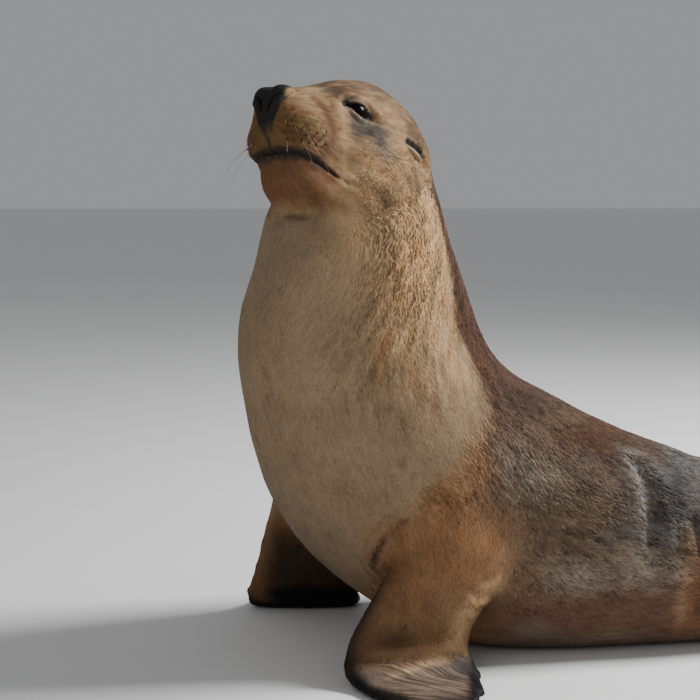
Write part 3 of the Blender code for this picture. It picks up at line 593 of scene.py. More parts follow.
tones = {  # linear colours
    "cream": (0.268, 0.190, 0.115),
    "palest": (0.405, 0.262, 0.134),
    "gold": (0.480, 0.290, 0.135),
    "throat": (0.190, 0.135, 0.090),
    "nape": (0.057, 0.029, 0.018),
    "back": (0.064, 0.040, 0.026),
    "flank": (0.120, 0.082, 0.054),
    "flankPaintedLight": (0.245, 0.198, 0.155),
    "saddle": (0.062, 0.030, 0.015),
    "paleSilverAndPaintedLight": (0.195, 0.178, 0.168),
    "silver": (0.075, 0.068, 0.062),
    "silverInPaintedShade": (0.018, 0.015, 0.013),
    "belly": (0.100, 0.055, 0.037),
    "shoulder": (0.305, 0.166, 0.083),
    "forearm": (0.160, 0.088, 0.042),
    "darkSpotsAndPaintedShade": (0.042, 0.026, 0.017),
    "hand": (0.130, 0.098, 0.076),
    "bare": (0.050, 0.040, 0.034),
    "edge": (0.009, 0.008, 0.008),
    "cheek": (0.310, 0.200, 0.110),
    "temple": (0.110, 0.064, 0.036),
    "muzzle": (0.135, 0.078, 0.032),
    "muzzleTop": (0.270, 0.180, 0.096),
    "rust": (0.150, 0.066, 0.027),
    "chin": (0.140, 0.070, 0.036),
    "crown": (0.145, 0.090, 0.058),
    "forehead": (0.075, 0.058, 0.045),
    "greyPatchAndLidShade": (0.108, 0.084, 0.064),
    "greyDark": (0.045, 0.036, 0.029),
    "nose": (0.021, 0.020, 0.018),
    "lip": (0.040, 0.029, 0.023),
    "dot": (0.040, 0.026, 0.016),
    "lid": (0.024, 0.019, 0.016),
    "lidEdge": (0.400, 0.330, 0.260),
}
creamEdge = ((0, 0.08, 0.13, 0.17, 0.21, 0.38, 0.46, 0.52, 0.56, 0.60, 0.66, 0.72),
             (96, 103, 117, 125, 132, 134, 121, 103, 72, 48, 30, 0))
bellyEdge = ((0.70, 0.80, 0.95, 1.05, 1.30, 1.60), (52, 62, 82, 88, 80, 60))
whiskerRows = {"rows": 6, "columns": 7, "top": -0.012, "drop": -0.0090, "centre": 0.172,
               "angles": (27, 74)}  # round the muzzle's front, from the nose back


def whiskerSpots():  # where the whiskers grow: point, normal, side, row and column
    tree, found = treeOf(skinMesh), []
    w = whiskerRows
    for side in (-1, 1):
        for row in range(w["rows"]):
            for column in range(w["columns"] - abs(row - 3) // 2):
                far = (column + 0.45 * (row % 2)) / (w["columns"] - 1)
                angle = math.radians(w["angles"][0] + (w["angles"][1] - w["angles"][0]) * far)
                u = w["top"] + w["drop"] * row - 0.008 * far
                f = w["centre"] - 0.012 * far
                end = (f + 0.1 * math.cos(angle), side * 0.1 * math.sin(angle), u)
                ends = posed(fromHead([(f, 0.0, u), end]))
                way = Vector(ends[1] - ends[0]).normalized()
                place, normal, _, _ = tree.ray_cast(Vector(ends[0]), way, 0.2)
                if place is None:
                    continue
                spot = headLocal(np.array([place]))[0]
                if spot[2] > mouthUp(spot[0]) + 0.005 and abs(spot[1]) > noseHalf(spot[2]) + 0.003:
                    found.append((np.array(place), np.array(normal), side, row, column))
    return found


spots = whiskerSpots()
straight = straightened(skinPoints)
along, around = trunkPlace(straight)
local = inHead(straight)
broad, middling = grain(5.0, 1), grain(17.0, 2)
arms = ofNodes("arm_left", "arm_right", "fore_flipper_left", "fore_flipper_right", rounds=45)
hands = ofNodes("fore_flipper_left", "fore_flipper_right", rounds=6)
feet, tail = ofNodes("hind_flipper_left", "hind_flipper_right", rounds=5), ofNodes("tail")
heads = ofNodes("head", "lower_jaw", "nose_pad", rounds=14)
height = skinPoints[:, 2]
headShare = ramp(0.2, 0.8, heads)


def flowOfCoat():  # metres along and across the lie of the coat
    radius = np.interp(along, (0, 0.1, 0.3, 0.6, 1.2), (0.090, 0.110, 0.160, 0.200, 0.190))
    flow = np.stack([along, np.radians(around) * radius, 0.3 * np.sign(straight[:, 1])], 1)
    f, r, u = local.T
    onHead = np.stack([0.05 - f, np.arctan2(np.abs(r), -(u + 0.03)) * 0.09, flow[:, 2]], 1)
    onArm = np.stack([0.87 - height, 0.31 + straight[:, 0], flow[:, 2]], 1)
    wide, long = np.abs(straight[:, 1]), straight[:, 0]
    onHand = np.stack([0.60 + 0.82 * long + 0.57 * wide, 0.31 + 0.57 * long - 0.82 * wide, flow[:, 2]], 1)
    for mask, other in ((heads, onHead), (arms, onArm), (hands, onHand)):
        flow += ramp(0.25, 0.75, mask)[:, None] * (other - flow)
    return flow


flow = flowOfCoat()


def streaks(lengthwise, across, seed, octaves=3):  # -1 to 1, drawn out along the coat
    shift = Vector((seed * 4.7, seed * 2.3, seed))
    stretched = flow * (lengthwise, across, 1.0)
    return np.array([noise.fractal(Vector(p) + shift, 1.0, 2.0, octaves) for p in stretched])


marks = {  # on the body by x, out and height, on the head by forward, out and up
    "forearmSpots": ((-0.158, 0.149), (-0.181, 0.103), (-0.120, 0.110), (-0.105, 0.165), (-0.150, 0.085)),
    "elbowFold": ((0.050, 0.206, 0.130), (-0.003, 0.226, 0.116), (-0.030, 0.228, 0.090),
                  (-0.052, 0.230, 0.055)),
    "padBand": ((0.180, 0.014), (0.172, 0.004), (0.165, -0.006), (0.161, -0.018), (0.156, -0.030),
                (0.158, -0.042), (0.168, -0.056), (0.174, -0.068)),
    "greyLine": ((0.104, -0.012), (0.083, -0.014), (0.064, -0.020)),
    "tearLine": ((0.137, 0.012), (0.133, -0.008), (0.127, -0.034), (0.120, -0.054)),
    "paleCheek": (  # strength, then the middle and the width forward, and up
        (0.85, 0.080, 0.036, -0.078, 0.030), (0.55, 0.118, 0.026, -0.122, 0.026),
        (0.60, 0.060, 0.030, -0.118, 0.028)),
    "earFurrow": ((0.002, 0.089, -0.024), (0.002, 0.095, -0.040), (0.002, 0.102, -0.057),
                  (0.001, 0.111, -0.076), (0.004, 0.120, -0.098)),
    "crownDarkMark": ((0.036, 0.055, 0.067), (0.020, 0.062, 0.061)),
}
skinTone = np.tile(np.array(tones["flank"]), (len(skinPoints), 1))


def over(name, mask):  # lays one tone over what is painted so far
    m = np.clip(mask, 0, 1)[:, None]
    skinTone[:] = skinTone * (1 - m) + np.array(tones[name]) * m


def paintTrunk():  # gives back how far each point belongs to the pale front
    x = straight[:, 0]
    a = around + 9 * broad + 5 * middling
    s = along + 0.025 * broad
    over("back", ramp(100, 138, a))
    # painted light thrown up from the floor on the lower flank
    over("flankPaintedLight", bump(a, 90, 17) * ramp(0.76, 0.86, s) * ramp(1.06, 0.96, s) * (0.8 + 0.4 * middling))
    over("flankPaintedLight", 0.5 * bump(s, 0.615, 0.07) * bump(a, 112, 14))
    over("shoulder", 0.14 * bump(s, 0.59, 0.05) * bump(a, 140, 15))
    over("belly", ramp(16, -10, a - np.interp(along, *bellyEdge)) * ramp(0.66, 0.78, s))
    over("rust", 0.35 * ramp(0.0, 0.5, broad + 0.3 * middling) * ramp(80, 66, a) * ramp(0.70, 0.78, s))
    shoulders = ramp(0.085, 0.000, x + 0.04 * broad) * ramp(132, 100, a) * ramp(0.44, 0.54, s)
    over("shoulder", shoulders)
    over("saddle", ramp(1.15, 0.55, np.hypot((s - 0.665) / 0.085, (a - 150) / 26) - 0.25 * middling))
    # the grey loin, with painted light along the ridge of its front fold and painted shade in the hollow
    # behind it
    ragged = s + 0.06 * middling + 0.04 * broad
    loin = ramp(0.765, 0.85, ragged) * ramp(1.55, 1.00, ragged) * ramp(92, 116, a)
    over("silver", loin * (0.90 + 0.3 * middling))
    lit = 0.75 + 0.5 * streaks(14, 60, 5)
    # painted light along the ridge of the front fold
    over("paleSilverAndPaintedLight", lit * bump(x + 0.012 * middling, 0.319, 0.035) * ramp(98, 114, a) * ramp(160, 142, a))
    # more painted light on the crest of that ridge
    over("flankPaintedLight", 0.35 * lit * bump(x + 0.010 * middling, 0.322, 0.014) * ramp(106, 118, a)
         * ramp(160, 148, a))
    # painted shade in the hollow behind the fold
    hollow = 0.350 + 0.0012 * (a - 123)
    over("silverInPaintedShade", 0.95 * bump(x + 0.016 * middling, hollow, 0.026) * bump(a, 131, 20))
    over("palest", 0.27 * bump(x + 0.005 * middling, 0.373, 0.012) * ramp(50, 74, a) * ramp(124, 108, a))
    over("rust", 0.60 * bump(x, 0.388, 0.016) * ramp(50, 70, a) * ramp(124, 108, a))
    over("nape", ramp(0.55, 0.42, s) * ramp(112, 126, a))
    # painted light from the floor, low on the belly
    over("flankPaintedLight", 0.30 * ramp(60, 48, a) * ramp(0.80, 0.88, s))
    # the pale front, with a dark line along its edge
    edge = np.interp(along, *creamEdge)
    over("saddle", 0.6 * ramp(0.52, 0.40, s) * bump(a, edge + 12, 7))
    soft = np.interp(along, (0.1, 0.4, 0.5), (4, 6, 16))
    front = ramp(soft, -soft, a - edge) * ramp(0.76, 0.68, along)
    over("cream", front)
    over("palest", front * ramp(60, 92, a) * ramp(0.55, 0.25, s) * 0.92)
    # painted shade down the front of the throat, under the chin
    over("throat", front * 0.30 * bump(along, 0.15, 0.08) * ramp(46, 14, around))
    # painted light on the near side of the throat
    over("palest", front * 0.80 * bump(along, 0.14, 0.07) * bump(around, 44, 18) * (straight[:, 1] < 0))
    over("gold", front * 0.55 * bump(around, 84, 26) * ramp(0.42, 0.15, along))
    over("temple", front * 0.45 * ramp(0.50, 0.64, grain(30.0, 51, 1)))  # a few dark spots
    over("throat", front * 0.6 * ramp(0.42, 0.58, s) * ramp(70, 40, a))
    over("shoulder", front * 0.45 * ramp(0.10, 0.5, streaks(7, 30, 3)) * ramp(56, 84, a) * ramp(0.5, 0.3, s))
    over("rust", shoulders * (1 - front) * 0.48 * ramp(0.05, 0.45, 0.8 * middling + 0.7 * streaks(16, 46, 6)))
    return front


def paintArms(front):
    x, wide = straight[:, 0], np.abs(straight[:, 1])
    right = straight[:, 1] > 0
    over("shoulder", arms * ramp(0.05, 0.16, height) * (1 - 0.6 * front))
    over("forearm", arms * ramp(0.24, 0.09, height + 0.03 * broad))
    over("rust", arms * 0.55 * ramp(0.0, 0.45, broad + 0.6 * middling))
    over("cream", arms * 0.22 * ramp(0.05, 0.45, -broad + 0.5 * middling) * ramp(0.04, 0.10, height))
    over("rust", 0.65 * bump(x, -0.080, 0.036) * bump(height, 0.200, 0.036))
    over("rust", 0.40 * bump(x, -0.110, 0.020) * bump(height, 0.120, 0.050) * arms)
    over("rust", 0.50 * bump(x, -0.152, 0.024) * bump(height, 0.128, 0.026) * arms)
    for spotX, spotHeight in marks["forearmSpots"]:
        gap = np.hypot(x - spotX, height - spotHeight)
        over("darkSpotsAndPaintedShade", 0.8 * arms * ramp(0.0042, 0.0015, gap) * (wide > 0.15))
    over("darkSpotsAndPaintedShade", 0.7 * bump(x, -0.165, 0.040) * bump(height, 0.068, 0.017) * arms)
    # the pale fold behind the elbow, painted shade in the armpit crease, and painted shade on the arm's inner
    # side, darkest low down
    rear, far = pathGap(np.stack([x, wide, height], 1), marks["elbowFold"])
    over("palest", (0.80 - 0.5 * far) * ramp(0.028, 0.006, rear + 0.003 * middling))
    # painted shade along the armpit crease
    pit = gapTo(creases["armpit"][0], x, wide, height)
    over("darkSpotsAndPaintedShade", 0.85 * ramp(0.0080, 0.0015, pit + 0.002 * middling))
    # painted shade on the arm's inner side, black low down
    inward = wide - np.interp(height, (0.03, 0.20), (0.222, 0.182)) + 0.018 * right
    inward = ramp(0.010, -0.014, inward)
    over("darkSpotsAndPaintedShade", inward * arms * ramp(0.20, 0.12, height))
    over("edge", inward * arms * ramp(0.058, 0.038, height + 0.01 * broad))
    over("belly", tail * 0.6)


def paintFlippers():
    x, wide = straight[:, 0], np.abs(straight[:, 1])
    palm = np.clip(hands * 2, 0, 1)
    top = ramp(0.30, 0.70, hands)
    top = top * ramp(0.038, 0.022, height + 0.004 * middling + 0.006 * streaks(40, 200, 7))
    over("hand", top * 0.9)
    over("rust", palm * 0.5 * bump(height, 0.040, 0.012) * ramp(0.0, 0.5, middling))
    over("palest", palm * 0.55 * bump(wide - 0.246 + 0.10 * (x + 0.16), 0.0, 0.005) * ramp(-0.20, -0.17, x))
    # dark along the leading edge, the trailing edge, the tips and the sole, with painted shade in the hollow
    # of the heel and low on the far flipper
    over("edge", palm * ramp(-0.219, -0.236, x - 0.45 * (wide - 0.221) + 0.004 * middling)
         * ramp(0.058, 0.040, height))
    over("edge", palm * ramp(-0.032, -0.014, x + 0.55 * (wide - 0.24) + 0.006 * middling)
         * ramp(0.045, 0.030, height))
    over("edge", top * ramp(0.31, 0.37, wide + 0.6 * np.maximum(x + 0.09, 0)))
    # painted shade in the hollow of the heel
    over("edge", palm * 0.97 * bump(x, -0.038, 0.026) * bump(wide, 0.246, 0.022))
    over("edge", palm * ramp(0.013, 0.006, height))
    # painted shade low on the far flipper
    over("edge", palm * (straight[:, 1] > 0) * ramp(0.046, 0.034, height + 0.005 * middling))
    over("bare", ramp(0.30, 0.70, feet + 0.2 * middling))
    over("edge", feet * ramp(0.010, 0.004, height))


def paintHead():
    f, r, u = local.T
    out = np.abs(r)
    head = ramp(0.25, 0.75, heads) * ramp(-0.10, -0.04, f)
    lip = u - mouthUp(f)
    hairs, fineHairs, patchy = streaks(22, 90, 8), streaks(34, 150, 12), grain(42.0, 9, 3)
    # cheek, temple, crown and forehead
    over("cheek", head * ramp(-0.17, -0.13, u))
    over("palest", head * 0.8 * bump(f, 0.03, 0.05) * bump(u, -0.045, 0.045))
    over("shoulder", head * 0.5 * ramp(-0.05, -0.09, u + 0.02 * patchy) * ramp(0.12, 0.06, f)
         * ramp(0.0, 0.5, hairs))
    over("temple", head * 0.85 * ramp(0.035, 0.000, f) * ramp(-0.012, 0.010, u + 0.006 * patchy))
    over("temple", head * 0.7 * ramp(-0.025, -0.045, f) * ramp(-0.05, -0.02, u + 0.006 * patchy))
    over("crown", head * ramp(0.028, 0.060, u + 0.014 * patchy))
    over("nape", head * 0.7 * ramp(0.020, -0.06, f) * ramp(0.000, 0.035, u))
    over("palest", head * 0.25 * bump(f, 0.085, 0.02) * ramp(0.055, 0.065, u))
    over("forehead", head * ramp(0.080, 0.110, f) * ramp(0.018, 0.040, u + 0.012 * patchy))
    # the muzzle, and the band behind the whisker pad
    over("muzzleTop", head * 0.6 * bump(f, 0.172, 0.020) * ramp(0.015, 0.035, u))
    face = head * ramp(-0.160, -0.142, u)
    over("muzzle", face * ramp(0.115, 0.155, f + 0.012 * middling) * ramp(0.040, 0.022, u))
    over("muzzleTop", head * 0.9 * ramp(0.150, 0.178, f) * ramp(-0.022, 0.000, u + 0.006 * patchy))
    over("rust", face * 0.60 * ramp(-0.1, 0.5, patchy + 0.5 * hairs) * ramp(0.12, 0.15, f)
         * ramp(0.0, -0.02, u))
    over("rust", head * 0.8 * bump(f, 0.108, 0.026) * bump(u, 0.046, 0.010))
    over("rust", face * 0.35 * ramp(0.05, 0.5, patchy) * ramp(0.02, -0.02, u))
    over("palest", face * 0.45 * ramp(0.05, 0.45, hairs) * ramp(0.15, 0.11, f))
    over("temple", face * 0.40 * ramp(0.05, 0.45, -hairs) * ramp(0.16, 0.12, f) * ramp(0.01, -0.01, u))
    over("palest", face * 0.30 * ramp(0.05, 0.40, fineHairs))
    over("temple", face * 0.40 * ramp(0.05, 0.40, -fineHairs))
    band, far = pathGap(np.stack([f, u], 1), marks["padBand"])
    band = band + 0.003 * patchy + 0.003 * fineHairs
    over("temple", face * 0.50 * ramp(0.022, 0.008, band) * ramp(-0.008, -0.024, u))
    over("rust", face * (0.90 - 0.25 * far) * ramp(0.016, 0.004, band) * ramp(0.028, 0.010, u))
    over("saddle", face * 0.66 * ramp(0.014, 0.001, band) * ramp(0.020, 0.002, u))
    # the chin, a painted highlight along its underside, and painted shade in the crease under it
    over("chin", head * 0.9 * ramp(0.004, -0.006, lip) * ramp(0.120, 0.170, f) * ramp(-0.156, -0.130, u))
    over("rust", face * 0.7 * ramp(0.004, -0.006, lip) * ramp(0.0, 0.4, patchy) * ramp(0.120, 0.150, f))
    # painted highlight along the underside of the chin
    over("palest", head * 0.35 * bump(u + 0.006 * patchy, -0.150, 0.010) * ramp(0.120, 0.150, f))
    # painted shade in the crease under the chin
    over("darkSpotsAndPaintedShade", head * 0.85 * bump(u + 0.002 * patchy + 0.06 * out, -0.158, 0.005)
         * ramp(0.042, 0.016, out) * ramp(0.020, -0.005, r))
    over("muzzle", head * 0.55 * ramp(0.18, 0.21, f) * ramp(0.0, 0.010, lip) * (out < 0.03))
    over("rust", head * 0.5 * ramp(0.195, 0.215, f) * bump(out, 0.036, 0.008) * (lip > 0))
    # the grey patch below the eye, and the pale hair round it
    patch = gapTo(marks["greyLine"], f, u)
    over("greyPatchAndLidShade", head * 1.0 * ramp(0.031, 0.005, patch + 0.012 * patchy + 0.008 * hairs))
    over("paleSilverAndPaintedLight", head * 0.35 * bump(f, 0.052, 0.020) * bump(u, -0.036, 0.020))
    over("greyDark", head * 0.85 * ramp(0.013, 0.001, patch + 0.009 * fineHairs) * ramp(-0.25, 0.35, patchy))
    streak = gapTo(marks["tearLine"], f, u)
    over("palest", head * 0.55 * ramp(0.015, 0.001, streak + 0.006 * patchy + 0.003 * fineHairs))
    for strength, middleF, widthF, middleU, widthU in marks["paleCheek"]:
        over("palest", head * strength * bump(f, middleF, widthF) * bump(u, middleU, widthU))
    over("temple", head * 0.8 * bump(f, -0.016, 0.020) * bump(u, 0.012, 0.018))
    # the lips
    deep = np.interp(f, (0.13, 0.17, 0.20), (0.003, 0.007, 0.010))
    lower = ramp(0.0035, 0.0000, lip) * ramp(-1.35, -0.75, (lip + 0.005 * patchy + 0.003 * hairs) / deep)
    over("lip", head * 0.92 * lower * ramp(0.126, 0.142, f))
    over("lip", head * ramp(0.0060, 0.0030, np.abs(lip + 0.002 * patchy - 0.001)) * ramp(0.126, 0.138, f))
    over("hand", head * 0.30 * lower * ramp(0.10, 0.5, hairs + 0.5 * patchy) * ramp(0.165, 0.185, f))
    over("rust", head * 0.8 * bump(f, 0.143, 0.010) * bump(lip, -0.006, 0.009))
    over("lip", head * 0.6 * ramp(0.012, 0.004, lip) * (lip > -0.001) * ramp(0.200, 0.215, f) * (out < 0.022))
    # painted shade in the slot behind the ear, the furrow behind the ear, and a small dark mark on the crown
    slot = gapTo(earSlot, f, out, u)
    # painted shade in the slot behind the ear
    over("lid", head * ramp(0.0088, 0.0062, slot + 0.25 * np.maximum(f, 0)))
    furrow = gapTo(marks["earFurrow"], f, out, u)
    over("temple", 0.75 * ramp(0.0075, 0.0015, furrow + 0.003 * patchy))
    crownMark = gapTo(marks["crownDarkMark"], f, -r, u)
    over("lid", head * 0.8 * ramp(0.0030, 0.0015, crownMark))
    paintEyes(head)
    trim = 0.005 * ramp(0.000, 0.012, u)
    nose = ramp(0.0042, 0.0012, out - noseHalf(u) + trim + 0.001 * middling) * ramp(0.204, 0.210, f)
    over("nose", nose * ramp(-0.060, -0.030, u + 0.004 * patchy))
    over("nose", head * 0.60 * ramp(0.0048, 0.0016, out) * ramp(0.205, 0.215, f) * (u < -0.028) * (lip > 0))
    for place, _, _, row, _ in spots:
        over("dot", (0.66 + 0.04 * row) * ramp(0.0030, 0.0010, np.linalg.norm(skinPoints - place, axis=1)))


def paintEyes(head):  # dark lids, with a pale rim along the lower one
    for side in (-1, 1):
        eye = eyeLocal(local, side)
        gap = lidGap(eye)
        corner = 0.0035 * (np.abs(eye[:, 0]) > 0.020)
        # painted shade on the upper lid, under the brow
        over("greyPatchAndLidShade", head * 0.75 * ramp(0.012, 0.004, gap) * (eye[:, 1] > 0))
        over("lid", head * ramp(0.0030, 0.0010, gap - corner))
        lower = (eye[:, 1] < 0) & (np.abs(eye[:, 0]) < 0.023)
        rim = ramp(0.0048, 0.0028, gap) * ramp(-0.0010, 0.0002, gap)
        over("lidEdge", head * lower * rim * (0.35 + 0.55 * (eye[:, 0] > -0.006)))
        over("lid", head * (gap < 0))


paleFront = paintTrunk()
paintArms(paleFront)
paintFlippers()
paintHead()
skinTone = np.clip(skinTone * (1 + 0.06 * broad + 0.06 * middling)[:, None], 0.004, 1)
print("skin painted")


coatPlan = {
    "length": 0.0125,  # of a clump of hairs on the flank
    "width": 0.0030,
    "density": 70000,  # clumps to a square metre there
    "lift": 0.16,
    "stray": 0.28,  # how far they lean out of the lie
    "sizes": (0.65, 1.35),  # least and most
    "widths": (0.7, 1.3),
    "patch": 0.003,  # of each clump on the map
    "seed": 7,
    "pieces": ("coatHead", "coatNeck", "coatChest", "coatShoulders", "coatFlanks", "coatRump"),
}


def ruffles():  # where the coat is wet and stands in curls: the jaw, the cheek and the side of the neck
    neck = ramp(40, 62, around) * ramp(135, 112, around) * ramp(0.42, 0.20, along) * ramp(0.0, 0.05, along)
    jaw = ramp(0.3, 0.8, heads) * ramp(0.14, 0.08, local[:, 0]) * ramp(-0.010, -0.050, local[:, 2])
    return np.clip(neck + jaw, 0, 1) * (1 - arms) * ramp(28, 44, around)


ruffled = ruffles()


def layOfCoat():  # unit ways on the posed animal, from the nose back and down the limbs
    ways = np.gradient(trunkMiddles, trunkMetres, axis=0)
    way = np.stack([np.interp(along, trunkMetres, ways[:, 0]), np.zeros(len(along)),
                    np.interp(along, trunkMetres, ways[:, 1])], 1)
    side = np.sign(straight[:, 1])
    way[:, 2] -= 0.25 * bump(around, 95, 40) * ramp(0.45, 0.65, along)
    way += arms[:, None] * (np.array((0.10, 0, -1.3)) - way)
    reach = ramp(0.2, 0.8, hands)[:, None]
    way += reach * (np.stack([np.full(len(side), 0.35), 0.9 * side, np.full(len(side), -0.2)], 1) - way)
    f, r, u = local.T
    back = np.stack([-np.ones(len(f)), 0.25 * np.sign(r), -0.25 - 0.4 * ramp(0.0, -0.1, u)], 1)
    faceWay = np.outer(back[:, 0], headForward) + np.outer(back[:, 2], headUp)
    faceWay[:, 1] += back[:, 1]
    way += (headShare * ramp(-0.12, 0.0, f))[:, None] * (faceWay - way)
    swirl = np.stack([grain(9.0, k + 11, 2) for k in range(3)], 1)
    curls = np.stack([grain(46.0, k + 31, 2) for k in range(3)], 1)
    way = way / np.linalg.norm(way, axis=1)[:, None] + 0.35 * swirl + 1.1 * ruffled[:, None] * curls
    step = posed(straight + way * 1e-3) - skinPoints
    return step / np.linalg.norm(step, axis=1)[:, None]


def coatFields():
    f, r, u = local.T
    out = np.abs(r)
    face = headShare * ramp(0.03, 0.12, f)
    bare = np.clip(ramp(0.2, 0.6, hands) + ramp(0.2, 0.6, feet), 0, 1)
    smooth = np.clip(paleFront + 1.2 * arms + headShare + underBelly, 0, 1)
    length = 1 - 0.35 * smooth
    length *= 1 - 0.35 * headShare
    length *= 1 - 0.40 * face
    length *= 1 - 0.25 * arms
    thickness = 1 - 0.45 * smooth * ramp(120, 95, around)
    thickness += 1.2 * headShare + 1.7 * face + 0.6 * arms
    clear = 1 - bare
    nose = ramp(0.004, 0.001, out - noseHalf(u)) * ramp(0.204, 0.209, f) * ramp(-0.060, -0.054, u)
    lips = ramp(0.006, 0.004, np.abs(u - mouthUp(f) - 0.001)) * ramp(0.120, 0.132, f)
    clear = clear * (1 - nose) * (1 - lips)
    for side in (-1, 1):
        clear = clear * ramp(0.0030, 0.0060, lidGap(eyeLocal(local, side)))
    clear = clear * ramp(0.0015, 0.006, height)
    slot = gapTo(earSlot, f, out, u)
    clear = clear * ramp(0.0070, 0.0095, slot)
    lift = (1 + 0.5 * middling) * (1 - 0.55 * smooth) + 1.3 * ruffled
    length = length * (1 + 0.45 * ruffled)
    return {"furLength": length, "furDensity": thickness * (clear > 0.5), "furLift": np.clip(lift, 0.25, 2.2)}


def regions():  # which coat piece grows on each point
    number = np.full(len(along), 4.0)  # the flanks
    number[along > 0.98] = 5  # the rump
    number[(along < 0.74) | (arms > 0.5)] = 3  # the shoulders and arms
    number[(along < 0.62) & (paleFront > 0.4) & (arms < 0.5)] = 2  # the chest
    number[along < 0.33] = 1  # the neck
    number[heads > 0.5] = 0
    return number


def stored(mesh, name, kind, values):
    layer = mesh.attributes.new(name, kind, "POINT")
    field = {"FLOAT": "value", "FLOAT_VECTOR": "vector", "FLOAT_COLOR": "color"}[kind]
    layer.data.foreach_set(field, np.ascontiguousarray(values, np.float32).ravel())


underBelly = ramp(10, -16, around - np.interp(along, *bellyEdge)) * ramp(0.66, 0.78, along)
fields = coatFields()
wet = np.clip(ramp(0.70, 0.84, along) * ramp(95, 118, around) + 0.5 * middling * ramp(0.6, 0.7, along), 0, 1)
bareness = np.clip(ramp(0.3, 0.7, hands) + ramp(0.3, 0.7, feet), 0, 1)
onNose = ramp(0.0030, 0.0, np.abs(local[:, 1]) - noseHalf(local[:, 2])) * ramp(0.206, 0.212, local[:, 0])
mottle = 1.0 - 0.80 * paleFront - 0.45 * heads - 0.7 * arms - 0.6 * underBelly + 0.4 * wet + 0.5 * ruffled
mottle = np.clip(mottle, 0.10, 1.4)
stored(skinMesh, "tone", "FLOAT_COLOR", np.hstack([skinTone, np.ones((len(skinTone), 1))]))
stored(skinMesh, "lay", "FLOAT_VECTOR", layOfCoat())
stored(skinMesh, "flow", "FLOAT_VECTOR", flow)
stored(skinMesh, "wet", "FLOAT", wet)
stored(skinMesh, "mottle", "FLOAT", mottle)
stored(skinMesh, "bare", "FLOAT", np.clip(bareness + onNose, 0, 1))
stored(skinMesh, "region", "FLOAT", regions())
clump = ramp(45, 80, around) * ramp(0.52, 0.36, along) * ramp(0.02, 0.08, along)
clump += 0.45 * mottle * ramp(0.3, 0.5, along)
clump += 0.75 * ramp(0.3, 0.8, heads) * ramp(0.17, 0.10, local[:, 0]) * ramp(0.06, 0.02, local[:, 2])
stored(skinMesh, "clump", "FLOAT", np.clip(clump, 0.06, 1))
handTop = ramp(0.3, 0.7, hands) * ramp(0.040, 0.030, height) * ramp(-0.205, -0.180, straight[:, 0])
stored(skinMesh, "handTop", "FLOAT", handTop * ramp(0.38, 0.31, np.abs(straight[:, 1])))
for name, values in fields.items():
    stored(skinMesh, name, "FLOAT", values)
smoothShaded(skinMesh)
print("coat laid out")


def addNode(tree, kind, inputs=None, **settings):
    node = tree.nodes.new(kind)
    for key, value in settings.items():
        setattr(node, key, value)
    for key, value in (inputs or {}).items():
        if hasattr(value, "is_output"):
            tree.links.new(value, node.inputs[key])
        else:
            node.inputs[key].default_value = value
    return node


def attribute(tree, name, kind="FLOAT"):
    return addNode(tree, "GeometryNodeInputNamedAttribute", {"Name": name}, data_type=kind).outputs[0]


def calc(tree, operation, a, b):
    return addNode(tree, "ShaderNodeMath", {0: a, 1: b}, operation=operation).outputs[0]


def times(tree, a, b):
    return calc(tree, "MULTIPLY", a, b)


def plus(tree, a, b):
    return calc(tree, "ADD", a, b)


def vectorCalc(tree, operation, a, b=None, scale=None):
    inputs = {k: v for k, v in ((0, a), (1, b), ("Scale", scale)) if v is not None}
    return addNode(tree, "ShaderNodeVectorMath", inputs, operation=operation).outputs[0]


def anyNumber(tree, low, high, seed):
    node = addNode(tree, "FunctionNodeRandomValue", {2: low, 3: high, "Seed": seed}, data_type="FLOAT")
    return node.outputs[1]


def nodeTree(name, inputs):  # a Geometry Nodes tree with these named inputs
    tree = bpy.data.node_groups.new(name, "GeometryNodeTree")
    tree.interface.new_socket("Geometry", in_out="INPUT", socket_type="NodeSocketGeometry")
    for label, kind, value in inputs:
        socket = tree.interface.new_socket(label, in_out="INPUT", socket_type="NodeSocket" + kind)
        if value is not None:
            socket.default_value = value
    tree.interface.new_socket("Geometry", in_out="OUTPUT", socket_type="NodeSocketGeometry")
    return tree, addNode(tree, "NodeGroupInput").outputs


def grown(name, source, tree, values):  # the tree's result on a copy of source, as a plain mesh
    carrier = newObject(name + "Carrier", source)
    modifier = carrier.modifiers.new("grow", "NODES")
    modifier.node_group = tree
    for item in tree.interface.items_tree:
        if item.item_type == "SOCKET" and item.in_out == "INPUT" and item.name in values:
            modifier[item.identifier] = values[item.name]
    carrier.update_tag()
    graph = bpy.context.evaluated_depsgraph_get()
    mesh = bpy.data.meshes.new_from_object(carrier.evaluated_get(graph))
    bpy.data.objects.remove(carrier)
    mesh.name = name
    return newObject(name, mesh)


def tuftMesh():  # one flat-lying clump: a ridge that narrows to its tip, along X, one metre long and wide
    stations = ((-0.10, 0.30, -0.35), (0.42, 0.50, 0.75))  # along, half width, rise
    bm = bmesh.new()
    rows = []
    for x, half, rise in stations:
        rows.append([bm.verts.new((x, -half, rise - 0.5)), bm.verts.new((x, 0, rise)),
                     bm.verts.new((x, half, rise - 0.5))])
    tip = bm.verts.new((1.0, 0, 0.10))
    for left in (0, 1):
        a, b = rows[0][left], rows[0][left + 1]
        c, d = rows[1][left], rows[1][left + 1]
        bm.faces.new((a, c, d, b))
        bm.faces.new((c, tip, d))
    bmesh.ops.triangulate(bm, faces=bm.faces)
    mesh = newMesh(bm, "tuft")
    points = pointsOf(mesh)
    patch = mesh.attributes.new("patch", "FLOAT_VECTOR", "POINT")
    spread = np.stack([np.clip(points[:, 0], 0, 1) - 0.5, points[:, 1], 0 * points[:, 0]], 1)
    patch.data.foreach_set("vector", spread.astype(np.float32).ravel())
    tipness = mesh.attributes.new("tipness", "FLOAT", "POINT")
    tipness.data.foreach_set("value", np.clip(points[:, 0], 0, 1).astype(np.float32))
    return smoothShaded(mesh)


